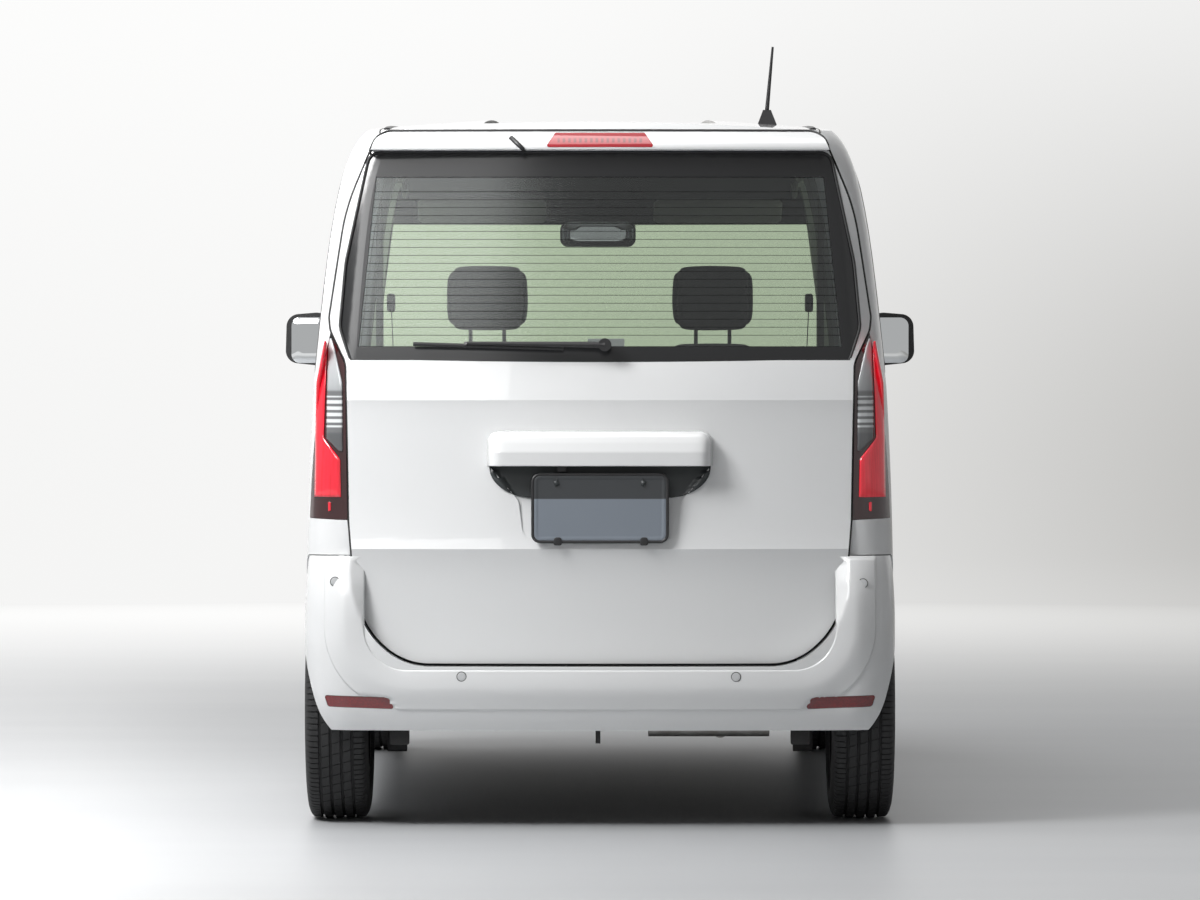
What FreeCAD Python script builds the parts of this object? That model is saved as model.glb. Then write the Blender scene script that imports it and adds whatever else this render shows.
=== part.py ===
"""Tall-wagon kei car with a hinged tailgate, sliding rear doors and steered front wheels.

Frame: +Z up, +Y forward, +X to the car's right. The origin is on the ground under the
middle of the body. The body shell comes from one tapering envelope, which is offset
inwards for the depth of each panel and cut along the panel gaps.
"""
import FreeCAD, Part
import math
import os
import Sketcher

V = FreeCAD.Vector
doc = FreeCAD.newDocument("kei_car")

# Driving dimensions in millimetres
DIMENSIONS = [
    ("overall_length", 3395),
    ("overall_width", 1475),
    ("overall_height", 1790),
    ("wheelbase", 2520),
    ("rear_overhang", 395),
    ("track", 1305),
    ("sill_height", 195),
    ("belt_height", 1085),
    ("tyre_radius", 278.5),
    ("tyre_width", 157),
    ("rim_radius", 178),
    ("flange_radius", 190),
    ("flange_width", 140),
    ("window_inner_radius", 98),
    ("window_outer_radius", 151),
    ("window_count", 10),
    ("stub_radius", 20),
    ("stub_clearance", 0.5),
    ("front_arch_radius", 325),
    ("rear_arch_radius", 320),
    ("wheelhouse_wall", 8),
    ("panel_gap", 5),
    ("door_skin", 46),
    ("door_depth", 80),
    ("frame_depth", 90),
    ("frame_step", 52),
    ("seal_overlap", 25),
    ("tail_overlap", 34),
    ("seal_gap", 6),
    ("bumper_wall", 34),
    ("fender_wall", 26),
    ("hood_wall", 22),
    ("roof_wall", 34),
    ("roof_edge", 545),
    ("roof_channel", 290),
    ("channel_depth", 10),
    ("glass_inset", 3),
    ("glass_wall", 5),
    ("glass_bed", 0.6),
    ("lamp_depth", 38),
    ("floor_height", 330),
    ("cargo_height", 500),
    ("floor_wall", 30),
    ("bulkhead_y", 905),
    ("seat_spacing", 302),
    ("seat_width", 490),
    ("handle_length", 176),
    ("steering_wheel_radius", 180),
    ("kingpin_low_x", 585),
    ("kingpin_high_x", 500),
    ("plate_width", 330),
    ("plate_height", 165),
    ("mirror_span", 1790),
    ("antenna_length", 195),
    ("tow_eye_radius", 13),
]

sheet = doc.addObject("Spreadsheet::Sheet", "sizes")
for row, (alias, number) in enumerate(DIMENSIONS, 1):
    sheet.set("A%d" % row, alias)
    sheet.set("B%d" % row, str(number))
    sheet.setAlias("B%d" % row, alias)
doc.recompute()


class Size(float):
    """A number of the sheet together with the formula that gives it."""

    def __new__(cls, value, text):
        self = float.__new__(cls, value)
        self.text = text
        return self

    def __add__(self, other):
        return Size(float(self) + float(other), "(%s + %s)" % (self.text, formula(other)))

    def __sub__(self, other):
        return Size(float(self) - float(other), "(%s - %s)" % (self.text, formula(other)))

    def __mul__(self, other):
        return Size(float(self) * float(other), "(%s * %s)" % (self.text, formula(other)))

    def __truediv__(self, other):
        return Size(float(self) / float(other), "(%s / %s)" % (self.text, formula(other)))

    def __radd__(self, other):
        return Size(float(other) + float(self), "(%s + %s)" % (formula(other), self.text))

    def __rsub__(self, other):
        return Size(float(other) - float(self), "(%s - %s)" % (formula(other), self.text))

    __rmul__ = __mul__

    def __neg__(self):
        return Size(-float(self), "(-1 * %s)" % self.text)


def formula(number):
    """text of a size or of a plain number"""
    return number.text if isinstance(number, Size) else repr(float(number))


class Sizes:
    """gives each cell of the sheet by its alias"""

    def __getattr__(self, alias):
        return Size(float(sheet.get(alias)), "sizes." + alias)


s = Sizes()

# Places worked out from the driving dimensions
half_width = s.overall_width / 2
half_length = s.overall_length / 2
rear_axle_y = s.rear_overhang - half_length
front_axle_y = rear_axle_y + s.wheelbase
wheel_x = s.track / 2
half_gap = s.panel_gap / 2
side_box = float(half_width) + 100
side_start = s.roof_edge + half_gap


# Shape helpers

def outline(points, plane, at=0.0):
    """closed wire through (a, b) or (a, b, corner radius) points of the YZ, XZ or XY plane"""
    def place(a, b):
        return {"YZ": V(at, a, b), "XZ": V(a, at, b), "XY": V(a, b, at)}[plane]

    runs = []
    count = len(points)
    for i, point in enumerate(points):
        here = V(point[0], point[1], 0)
        radius = point[2] if len(point) > 2 else 0
        back = (V(*points[i - 1][:2], 0) - here).normalize()
        ahead = (V(*points[(i + 1) % count][:2], 0) - here).normalize()
        if not radius:
            runs.append((here, None, here))
            continue
        inside = back.getAngle(ahead) / 2
        reach = radius / math.tan(inside)
        middle = (back + ahead).normalize()
        centre = here + middle * (radius / math.sin(inside))
        runs.append((here + back * reach, centre - middle * radius, here + ahead * reach))
    edges = []
    for i, (start, middle, end) in enumerate(runs):
        if middle:
            edges.append(Part.Arc(place(*start[:2]), place(*middle[:2]), place(*end[:2])).toShape())
        following = runs[(i + 1) % count][0]
        if (following - end).Length > 1e-6:
            edges.append(Part.LineSegment(place(*end[:2]), place(*following[:2])).toShape())
    return Part.Wire(edges)


def prism(points, plane, start, end, grow=0.0):
    """solid between two stations along the plane's normal; grow offsets the outline outwards"""
    face = Part.Face(outline(points, plane, start))
    if grow:
        face = Part.Face(face.makeOffset2D(float(grow), 2).Wires[0])
    along = {"YZ": V(1, 0, 0), "XZ": V(0, 1, 0), "XY": V(0, 0, 1)}[plane]
    return face.extrude(along * float(end - start))


def block(x, y, z):
    """box between the given (low, high) pairs"""
    return Part.makeBox(x[1] - x[0], y[1] - y[0], z[1] - z[0], V(x[0], y[0], z[0]))


def rod(start, end, radius, end_radius=None):
    """round bar between two points, tapering when a second radius is given"""
    along = end - start
    if end_radius is None:
        return Part.makeCylinder(float(radius), along.Length, start, along)
    return Part.makeCone(float(radius), float(end_radius), along.Length, start, along)


def bent_path(points, bend):
    """wire of straight runs through 3-D points, joined by tangent arcs of one radius"""
    runs = [(points[0], None, points[0])]
    for before, here, after in zip(points, points[1:], points[2:]):
        back = (before - here).normalize()
        ahead = (after - here).normalize()
        inside = back.getAngle(ahead) / 2
        reach = bend / math.tan(inside)
        middle = (back + ahead).normalize()
        centre = here + middle * (bend / math.sin(inside))
        runs.append((here + back * reach, centre - middle * bend, here + ahead * reach))
    runs.append((points[-1], None, points[-1]))
    edges = []
    for (start, middle, end), (following, _, _) in zip(runs, runs[1:] + runs[-1:]):
        if middle:
            edges.append(Part.Arc(start, middle, end).toShape())
        if (following - end).Length > 1e-6:
            edges.append(Part.LineSegment(end, following).toShape())
    return Part.Wire(edges)


def pipe(points, bend, radius):
    """round bar swept along such a path"""
    path = bent_path(points, bend)
    circle = Part.Wire(Part.makeCircle(radius, points[0], points[1] - points[0]))
    return path.makePipeShell([circle], True, False)


def fuse(solids):
    """one clean solid of several that meet"""
    return solids[0].fuse(solids[1:]).removeSplitter()


def mirrored(shape):
    """the same shape on the car's other side"""
    return shape.mirror(V(0, 0, 0), V(1, 0, 0))


def feature(label, shape, base=V(0, 0, 0)):
    """document object for a shape worked out from the sheet's sizes"""
    item = doc.addObject("Part::Feature", label)
    item.Shape = shape
    item.Placement = FreeCAD.Placement(base, FreeCAD.Rotation())
    nodes.append(item)
    return item


def bind(item, **sizes):
    """ties properties of an object to formulas of the sheet"""
    for name, value in sizes.items():
        item.setExpression(name.replace("__", "."), formula(value))


def put(item, x, y, z):
    """ties an object's place to formulas of the sheet"""
    bind(item, Placement__Base__x=x, Placement__Base__y=y, Placement__Base__z=z)


def profile_sketch(body, role, points):
    """sketch of a closed polygon whose corners are tied to the sheet"""
    sketch = body.newObject("Sketcher::SketchObject", body.Name + "_profile")
    origin_plane = [item for item in body.Origin.OriginFeatures if item.Role == role][0]
    sketch.AttachmentSupport = (origin_plane, "")
    sketch.MapMode = "FlatFace"
    count = len(points)
    for i in range(count):
        a, b = points[i], points[(i + 1) % count]
        sketch.addGeometry(Part.LineSegment(V(a[0], a[1], 0), V(b[0], b[1], 0)), False)
    for i in range(count):
        sketch.addConstraint(Sketcher.Constraint("Coincident", i, 2, (i + 1) % count, 1))
    for i, point in enumerate(points):
        for kind, value in zip(("DistanceX", "DistanceY"), point):
            index = sketch.addConstraint(Sketcher.Constraint(kind, -1, 1, i, 1, float(value)))
            sketch.setExpression("Constraints[%d]" % index, formula(value))
    doc.recompute()
    return sketch


def revolved(label, points):
    """body turned about its own X axis from a profile of (along the axle, radius) points"""
    body = doc.addObject("PartDesign::Body", label)
    sketch = profile_sketch(body, "XY_Plane", points)
    turn = body.newObject("PartDesign::Revolution", label + "_turn")
    turn.Profile = sketch
    turn.ReferenceAxis = (sketch, ["H_Axis"])
    turn.Angle = 360
    sketch.Visibility = False
    doc.recompute()
    nodes.append(body)
    return body


def padded(label, role, points, length):
    """body pushed out both ways from a profile on one of its origin planes"""
    body = doc.addObject("PartDesign::Body", label)
    sketch = profile_sketch(body, role, points)
    pad = body.newObject("PartDesign::Pad", label + "_pad")
    pad.Profile = sketch
    pad.SideType = "Symmetric"
    bind(pad, Length=length)
    doc.recompute()
    nodes.append(body)
    return body


nodes = []


# Body envelope

# Each row is one level slice: height as a share of the range, then the insets of the side,
# the rear and the front from the overall box, the rear and front corner radii in plan,
# and the bow of the rear and front faces.
LOWER_SLICES = [
    (0.00, 34.5, 60.0, 97.5, 90, 230, 20, 60),
    (0.05, 21.5, 45.0, 47.5, 95, 240, 22, 60),
    (0.15, 6.5, 42.0, 11.5, 100, 250, 24, 60),
    (0.31, -0.5, 42.0, -2.5, 105, 255, 26, 60),
    (0.48, -1.0, 43.0, -1.5, 105, 255, 26, 60),
    (0.66, 2.5, 46.0, 7.5, 105, 250, 27, 60),
    (0.84, 7.5, 55.0, 27.5, 105, 245, 28, 60),
    (1.00, 15.5, 67.5, 57.5, 105, 240, 28, 60),
]
CABIN_SLICES = [
    (0.000, 15.5, 67.5, 577.5, 105, 120, 28, 70),
    (0.135, 24.5, 80.5, 660.5, 100, 115, 28, 70),
    (0.350, 40.5, 102.5, 793.5, 95, 110, 28, 68),
    (0.560, 59.5, 124.5, 927.5, 90, 105, 28, 66),
    (0.730, 82.5, 142.5, 1037.5, 85, 100, 28, 64),
    (0.844, 110.5, 154.5, 1117.5, 82, 95, 28, 62),
    (0.908, 147.5, 167.5, 1177.5, 80, 90, 28, 60),
    (0.950, 202.5, 189.5, 1252.5, 80, 90, 28, 58),
    (0.986, 277.5, 227.5, 1357.5, 80, 90, 28, 55),
    (1.030, 377.5, 317.5, 1517.5, 80, 90, 28, 50),
]
SIDE_BOW = 12
QUARTER_TURN = 0.5523

# Where the side's bow ends: the cabin's sides are cut from the same long curve as the lower
# body's, so both parts of the envelope meet along one line.
bow_end = half_length - (LOWER_SLICES[-1][3] + LOWER_SLICES[-1][5] + LOWER_SLICES[-1][7])


def slice_poles(z, half, rear, front, rear_corner, front_corner, rear_bow, front_bow):
    """poles of the eight cubic curves round one level slice: four bowed sides, four corners"""
    def bowed(start, end, bow):
        step = (end - start) / 3
        return [start, start + step + bow * (4 / 3), end - step + bow * (4 / 3), end]

    def first_part(poles, share):
        line = [a + (b - a) * share for a, b in zip(poles, poles[1:])]
        bend = [a + (b - a) * share for a, b in zip(line, line[1:])]
        return [poles[0], line[0], bend[0], bend[0] + (bend[1] - bend[0]) * share]

    rear_x = half - SIDE_BOW - rear_corner
    rear_y = rear + rear_bow + rear_corner
    front_y = front - front_bow - front_corner
    side_x = half - SIDE_BOW
    long_end = max(front_y, float(bow_end))
    long_side = bowed(V(side_x, rear_y, z), V(side_x, long_end, z), V(SIDE_BOW, 0, 0))
    right = first_part(long_side, (front_y - rear_y) / (long_end - rear_y))
    front_x = right[3].x - front_corner
    sides = [
        bowed(V(-rear_x, rear + rear_bow, z), V(rear_x, rear + rear_bow, z), V(0, -rear_bow, 0)),
        right,
        bowed(V(front_x, front - front_bow, z), V(-front_x, front - front_bow, z), V(0, front_bow, 0)),
        [V(-pole.x, pole.y, pole.z) for pole in reversed(right)],
    ]
    poles = []
    for i, side in enumerate(sides):
        following = sides[(i + 1) % 4]
        start, end = side[3], following[0]
        leaving = (side[3] - side[2]).normalize()
        arriving = (following[1] - following[0]).normalize()
        handle = (end - start).Length * QUARTER_TURN / math.sqrt(2)
        poles += [side, [start, start + leaving * handle, end - arriving * handle, end]]
    return poles


def spline_face(net):
    """smooth face that follows a net of poles"""
    def knots(count, degree):
        spans = count - degree
        return [float(i) for i in range(spans + 1)], [degree + 1] + [1] * (spans - 1) + [degree + 1]

    across, along = len(net), len(net[0])
    degree_u, degree_v = min(3, across - 1), min(3, along - 1)
    knots_u, counts_u = knots(across, degree_u)
    knots_v, counts_v = knots(along, degree_v)
    surface = Part.BSplineSurface()
    surface.buildFromPolesMultsKnots(
        net, counts_u, counts_v, knots_u, knots_v, False, False, degree_u, degree_v)
    return surface.toShape()


def tube(rows):
    """solid through level slices, each row z, half, rear, front, corners and bows"""
    loops = [slice_poles(*row) for row in rows]
    faces = [spline_face([loop[i] for loop in loops]) for i in range(8)]
    for loop in (loops[0], loops[-1]):
        edges = []
        for poles in loop:
            curve = Part.BezierCurve()
            curve.setPoles(poles)
            edges.append(curve.toShape())
        faces.append(Part.Face(Part.Wire(edges)))
    shell = Part.Compound(faces)
    shell.sewShape()
    solid = Part.Solid(shell.Shells[0])
    if solid.Volume < 0:
        solid.reverse()
    return solid


def slice_rows(slices, low, high, depth):
    """rows of a tube at real size, offset inwards by a depth"""
    rows = []
    for share, side, rear, front, rear_corner, front_corner, rear_bow, front_bow in slices:
        rows.append((
            low + share * (high - low),
            half_width - side - depth,
            -half_length + rear + depth,
            half_length - front - depth,
            max(rear_corner - depth, 12),
            max(front_corner - depth, 12),
            rear_bow,
            front_bow,
        ))
    return [tuple(float(number) for number in row) for row in rows]


def above(rows, depth):
    """everything above a crowned skin, each row y, z in the middle and crown at the edge"""
    reach = float(half_width) + 160
    shares = (-1, -0.5, 0, 0.5, 1)
    net = [[V(t * reach, y, z - crown * t * t - depth) for t in shares] for y, z, crown in rows]
    return spline_face(net).extrude(V(0, 0, 700))


def hood_rows():
    """crowned skin of the hood from under the windscreen to the nose"""
    nose = float(half_length)
    belt = float(s.belt_height)
    return [
        (nose - 997, belt + 40, 0), (nose - 697, belt + 12, 0), (nose - 547, belt - 12, 10),
        (nose - 347, belt - 46, 50), (nose - 177, belt - 98, 80), (nose - 27, belt - 180, 100),
        (nose + 103, belt - 295, 110),
    ]


def roof_rows():
    """crowned skin of the roof from the tailgate to the windscreen header"""
    top = float(s.overall_height)
    tail = -float(half_length)
    return [
        (tail - 200, top - 85, 50), (tail + 178, top - 42, 50), (tail + 698, top - 8, 80),
        (tail + 1398, top + 16, 95), (tail + 1898, top + 8, 95), (tail + 2178, top - 36, 80),
        (tail + 2600, top - 145, 70),
    ]


envelopes = {}


def envelope(depth=0):
    """solid inside the body's outer surface, offset inwards by a depth"""
    depth = float(depth)
    if depth not in envelopes:
        low = float(s.sill_height)
        belt = float(s.belt_height)
        top = float(s.overall_height)
        lower = tube(slice_rows(LOWER_SLICES, low, belt, depth)).cut(above(hood_rows(), depth))
        cabin = tube(slice_rows(CABIN_SLICES, belt, top, depth)).cut(above(roof_rows(), depth))
        envelopes[depth] = lower.fuse(cabin)
    return envelopes[depth]


layers = {}


def layer(outer, inner):
    """wall between two depths under the outer surface"""
    key = (float(outer), float(inner))
    if key not in layers:
        layers[key] = envelope(outer).cut(envelope(inner))
    return layers[key]


# Outlines of the openings, seen from the side (Y, Z) and from behind (X, Z)

door_front = front_axle_y - s.front_arch_radius - 72.5
door_pillar = door_front - 930
slider_rear = door_pillar - 742
door_low = s.sill_height + 150
rail = s.overall_height - 108
belt_line = s.belt_height + 12
gutter = s.overall_height - 150

FRONT_DOOR = [
    (door_pillar + half_gap, door_low, 60), (door_front, door_low, 60),
    (door_front, s.belt_height, 60), (door_front - 330, rail, 45), (door_pillar + half_gap, rail + 6, 20),
]
SLIDING_DOOR = [
    (slider_rear, door_low, 90), (door_pillar - half_gap, door_low, 60),
    (door_pillar - half_gap, rail + 6, 20), (slider_rear, rail + 4, 60),
]
FRONT_WINDOW = [
    (door_pillar + 48, belt_line, 25), (door_front - 62, belt_line, 18),
    (door_front - 362, gutter, 35), (door_pillar + 48, gutter, 30),
]
SLIDING_WINDOW = [
    (slider_rear + 42, belt_line + 6, 40), (door_pillar - 48, belt_line, 25),
    (door_pillar - 48, gutter, 30), (slider_rear + 42, gutter - 2, 40),
]
REAR_WINDOW = [
    (slider_rear - 575, belt_line + 22, 50), (slider_rear - 48, belt_line + 8, 30),
    (slider_rear - 48, gutter - 4, 30), (slider_rear - 540, gutter - 14, 60),
]
QUARTER_LIGHT = [
    (door_front + 28, belt_line + 4, 12), (door_front + 158, belt_line + 4, 14),
    (door_front - 150, gutter - 175, 14),
]

tail_top = s.overall_height - 74
tail_low = s.sill_height + 210
TAILGATE = [
    (-480, tail_low, 160), (480, tail_low, 160), (573, tail_low + 82, 200), (602, tail_low + 180, 80),
    (616, tail_low + 350, 60), (624, tail_low + 738, 60), (664, tail_low + 820, 60), (667, tail_low + 852, 40),
    (627, tail_low + 1118, 500), (552, tail_top - 13, 40), (523, tail_top, 30), (-523, tail_top, 30),
    (-552, tail_top - 13, 40), (-627, tail_low + 1118, 500), (-667, tail_low + 852, 40),
    (-664, tail_low + 820, 60), (-624, tail_low + 738, 60), (-616, tail_low + 350, 60),
    (-602, tail_low + 180, 80), (-573, tail_low + 82, 200),
]
gate_front = -half_length + 254
shoulder_front = -half_length + 231
glass_floor = s.glass_inset + s.glass_wall + s.glass_bed
glass_low = tail_low + 736
glass_top = tail_top - 52
REAR_GLASS = [
    (-612, glass_low, 20), (612, glass_low, 20), (642, glass_low + 90, 60), (628, glass_low + 250, 200),
    (570, glass_top, 30), (-570, glass_top, 30), (-628, glass_low + 250, 200), (-642, glass_low + 90, 60),
]
WINDSCREEN = [
    (-655, belt_line + 8, 60), (655, belt_line + 8, 60), (560, rail + 8, 60), (-560, rail + 8, 60),
]

bumper_top = s.sill_height + 477
BUMPER_SIDE = [
    (-half_length - 60, s.sill_height - 60), (rear_axle_y, s.sill_height - 60),
    (rear_axle_y - 165, bumper_top - 122), (rear_axle_y - 245, bumper_top - 4, 30),
    (-half_length - 60, bumper_top),
]


def stepped_opening(points, plane, start, end, overlap):
    """cutter for a panel's opening: the gap outside, a narrower flange for the seal inside"""
    outside = prism(points, plane, start, end, s.panel_gap).cut(envelope(s.frame_step))
    return outside.fuse(prism(points, plane, start, end, -overlap))


def stepped_panel(skin, points, plane, start, end, overlap):
    """panel that fills such an opening: the skin outside, a narrower plug inside the seal"""
    plug = layer(s.door_skin, s.door_depth).common(prism(points, plane, start, end, -(overlap + s.seal_gap)))
    return skin.common(prism(points, plane, start, end)).fuse(plug)


def arch(axle_y, radius, inner_x, outer_x):
    """cylinder about an axle that clears a wheel"""
    return Part.makeCylinder(
        float(radius), float(outer_x - inner_x), V(inner_x, axle_y, s.tyre_radius), V(1, 0, 0))


# Side frames: pillars, sill, cant rail and rear quarter panel

lamp_low = tail_low + 352
LAMP = [
    (600, lamp_low), (760, lamp_low + 6), (760, lamp_low + 498), (640, lamp_low + 494),
    (600, lamp_low + 400),
]
lamp_front = rear_axle_y - 252


def lamp_zone(grow=0.0):
    """space of the right tail lamp, from behind and in from the side"""
    seen = prism(LAMP, "XZ", -half_length - 60, lamp_front + grow, grow)
    seen = seen.cut(prism(TAILGATE, "XZ", -half_length - 100, rear_axle_y, s.panel_gap))
    return seen.common(block((0, side_box), (-half_length - 70, lamp_front + grow), (0, 2000)))


def bumper_zone(grow=0.0):
    """space of the rear bumper behind the rear arches"""
    return prism(BUMPER_SIDE, "YZ", -side_box, side_box, grow)


def side_frame():
    """right side frame"""
    wall = layer(0, s.frame_depth)
    zone = block((s.roof_edge + half_gap, side_box), (-half_length - 10, half_length), (0, 2000))
    zone = zone.fuse(block((s.roof_edge - 60, side_box), (-half_length - 10, rear_axle_y), (0, tail_top - 60)))
    frame = wall.common(zone)
    front_low = block((0, side_box), (door_front + half_gap, half_length + 10), (0, s.belt_height))
    frame = frame.cut(front_low.cut(envelope(s.fender_wall)))
    frame = frame.cut(block((0, side_box), (s.bulkhead_y - 20, half_length + 10), (0, s.belt_height)))
    frame = frame.cut(prism(WINDSCREEN, "XZ", door_front - 420, half_length))
    for points in (FRONT_DOOR, SLIDING_DOOR):
        frame = frame.cut(stepped_opening(points, "YZ", side_start, side_box, s.seal_overlap))
    frame = frame.cut(stepped_opening(TAILGATE, "XZ", -half_length - 100, gate_front + 8, s.tail_overlap))
    for points in (REAR_WINDOW, QUARTER_LIGHT):
        frame = frame.cut(prism(points, "YZ", side_start, side_box, -10))
        frame = frame.cut(layer(-1, glass_floor).common(prism(points, "YZ", side_start, side_box)))
    frame = frame.cut(arch(rear_axle_y, s.rear_arch_radius, 300, side_box))
    frame = frame.cut(arch(front_axle_y, s.front_arch_radius, 300, side_box))
    frame = frame.cut(layer(-1, s.lamp_depth + 1).common(lamp_zone(1)))
    frame = frame.cut(bumper_zone(half_gap).cut(envelope(s.bumper_wall + 8)))
    rail_z = (s.belt_height - 88, s.belt_height - 72)
    rail_slot = block((0, side_box), (rear_axle_y - 170, slider_rear - 12), rail_z)
    frame = frame.cut(layer(-1, 14).common(rail_slot))
    solids = sorted(frame.Solids, key=lambda solid: solid.Volume)
    return solids[-1]


right_frame = side_frame()
feature("body_side_right", right_frame)
feature("body_side_left", mirrored(right_frame))


# Roof panel with a sunken channel between its two side ribs

def roof():
    """roof panel up to the ditch on each side, with the front and rear headers"""
    edge = s.roof_edge
    upper = block((-edge + half_gap, edge - half_gap), (-half_length, half_length), (tail_top - 190, 2000))
    under = block((-edge - half_gap, edge + half_gap), (-half_length, half_length), (tail_top - 190, 2000))
    panel = layer(0, 12).common(upper).fuse(layer(12, s.roof_wall).common(under))
    channel = prism(
        [(-s.roof_channel, -half_length + 260, 40), (s.roof_channel, -half_length + 260, 40),
         (s.roof_channel - 30, front_axle_y - 830, 40), (-s.roof_channel + 30, front_axle_y - 830, 40)],
        "XY", 1500.0, 2000.0)
    panel = panel.cut(layer(-1, s.channel_depth).common(channel))
    panel = panel.cut(prism(WINDSCREEN, "XZ", door_front - 420, half_length))
    panel = panel.cut(prism(TAILGATE, "XZ", -half_length - 100, rear_axle_y, s.panel_gap))
    return sorted(panel.Solids, key=lambda solid: solid.Volume)[-1]


feature("roof_panel", roof())


# Hood and front fenders

hood_half = s.overall_width / 2 - 108
hood_lip = s.belt_height - 212
cowl_step = 16


def belt_plan(ahead, low, high):
    """upright solid under the windscreen's foot, moved ahead by a distance"""
    row = list(slice_rows(CABIN_SLICES[:1], s.belt_height, s.overall_height, 0)[0])
    row[3] += ahead
    return tube([tuple([float(z)] + row[1:]) for z in (low, high)])


def hood_zone(grow=0.0):
    """space of the hood: between the fenders, from its lip back to the cowl"""
    zone = block((-hood_half - grow, hood_half + grow), (bulkhead, half_length + 10), (hood_lip - grow, 2000))
    return zone.cut(belt_plan(cowl_step + 12 - grow, 600, 1400))


bulkhead = s.bulkhead_y
feature("hood", layer(0, s.hood_wall).common(hood_zone()))


def front_seam(y):
    """height of the seam between the front bumper and what stands on it"""
    return s.sill_height + 497 + (half_length - y) * 0.02


FRONT_BUMPER_SIDE = [
    (front_axle_y, s.sill_height - 60), (half_length + 60, s.sill_height - 60),
    (half_length + 60, front_seam(half_length + 60)), (front_axle_y + 235, front_seam(front_axle_y + 235)),
    (front_axle_y + 160, s.sill_height + 330),
]
HEADLAMP = [
    (420, front_seam(half_length) + 3, 20), (780, front_seam(half_length) + 3), (780, hood_lip + 60),
    (700, hood_lip - 5, 30), (440, hood_lip - 5, 25),
]
headlamp_rear = front_axle_y + 215
GRILLE = [
    (-412, front_seam(half_length) + 3, 12), (412, front_seam(half_length) + 3, 12),
    (432, hood_lip - 5, 12), (-432, hood_lip - 5, 12),
]


def headlamp_zone(grow=0.0):
    """space of the right headlamp, from ahead and in from the side"""
    seen = prism(HEADLAMP, "XZ", headlamp_rear - grow, half_length + 60, grow)
    slope = prism(
        [(headlamp_rear - grow, 0), (half_length + 90, 0),
         (half_length + 90, 2000), (headlamp_rear + 160 - grow, 2000),
         (headlamp_rear + 60 - grow, hood_lip), (headlamp_rear - grow, 760)],
        "YZ", 0.0, side_box)
    return seen.common(slope)


def front_bumper_zone(grow=0.0):
    """space of the front bumper ahead of the front arches"""
    return prism(FRONT_BUMPER_SIDE, "YZ", -side_box, side_box, grow)


def front_fender():
    """right front fender from the door to the bumper and headlamp"""
    wall = layer(0, s.fender_wall)
    zone = block((hood_half, side_box), (door_front + s.panel_gap, half_length), (0, s.belt_height + 60))
    fender = wall.common(zone).cut(hood_zone(s.panel_gap))
    fender = fender.cut(belt_plan(3, s.belt_height, 1400))
    fender = fender.cut(arch(front_axle_y, s.front_arch_radius, 300, side_box))
    fender = fender.cut(front_bumper_zone(half_gap))
    fender = fender.cut(layer(-1, s.lamp_depth + 1).common(headlamp_zone(2)))
    return sorted(fender.Solids, key=lambda solid: solid.Volume)[-1]


right_fender = front_fender()
feature("front_fenders", Part.Compound([right_fender, mirrored(right_fender)]))


# Front face: bumper, grille and headlamps

LOWER_INTAKE = [
    (-430, s.sill_height + 115, 30), (430, s.sill_height + 115, 30),
    (390, s.sill_height + 250, 30), (-390, s.sill_height + 250, 30),
]


def front_bumper():
    """front bumper cover with its lower intake"""
    cover = layer(0, s.bumper_wall).common(front_bumper_zone())
    cover = cover.cut(arch(front_axle_y, s.front_arch_radius, -side_box, side_box))
    cover = cover.cut(prism(LOWER_INTAKE, "XZ", front_axle_y, half_length + 60))
    return sorted(cover.Solids, key=lambda solid: solid.Volume)[-1]


feature("front_bumper", front_bumper())


def bars(points, count, wall, depth):
    """level bars across an opening, joined by an upright at each end and in the middle"""
    low = min(point[1] for point in points) + 8
    high = max(point[1] for point in points) - 8
    shell = layer(depth, depth + wall)
    step = (high - low) / (count - 1)
    reach = (front_axle_y, half_length + 20)
    levels = [low + i * step for i in range(count)]
    pieces = [block((-side_box, side_box), reach, (z - 6, z + 6)) for z in levels]
    pieces += [block((x - 8, x + 8), reach, (low - 6, high + 6)) for x in (-210, 0, 210)]
    lattice = shell.common(fuse(pieces)).common(prism(points, "XZ", front_axle_y, half_length + 60))
    rim = shell.common(prism(points, "XZ", front_axle_y, half_length + 60)).cut(
        prism(points, "XZ", front_axle_y, half_length + 60, -12))
    return rim.fuse(lattice).removeSplitter()


feature("grille", Part.Compound([bars(GRILLE, 5, 16, 4), bars(LOWER_INTAKE, 4, 16, 8)]))

right_headlamp = layer(1, s.lamp_depth).common(headlamp_zone()).cut(front_bumper_zone(3)).cut(hood_zone(3))
right_headlamp = sorted(right_headlamp.Solids, key=lambda solid: solid.Volume)[-1]
feature("headlamps", Part.Compound([right_headlamp, mirrored(right_headlamp)]))


# Rear bumper, wrapped under and beside the tailgate

BUMPER_SLICES = [
    (0.00, 27.0, 34.0, 600, 95, 240, 22, 60),
    (0.08, 12.0, 15.0, 600, 98, 240, 24, 60),
    (0.20, 2.5, 3.0, 600, 102, 240, 26, 60),
    (0.40, -2.5, -3.0, 600, 105, 240, 26, 60),
    (0.60, -3.5, -4.0, 600, 105, 240, 26, 60),
    (0.80, -1.0, 2.0, 600, 105, 240, 26, 60),
    (0.94, 3.5, 18.0, 600, 105, 240, 26, 60),
    (1.00, 6.5, 34.0, 600, 105, 240, 26, 60),
]


bumper_low = s.sill_height + 46
REFLECTOR = [
    (503, bumper_low + 54, 5), (668, bumper_low + 59, 8), (677, bumper_low + 87, 5), (520, bumper_low + 83, 5),
]
reflector_wall = 10


def bumper_tube(depth, beyond=0.0):
    """solid inside the bumper's outer surface, offset inwards by a depth"""
    return tube(slice_rows(BUMPER_SLICES, bumper_low - beyond, bumper_top + beyond, depth))


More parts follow.
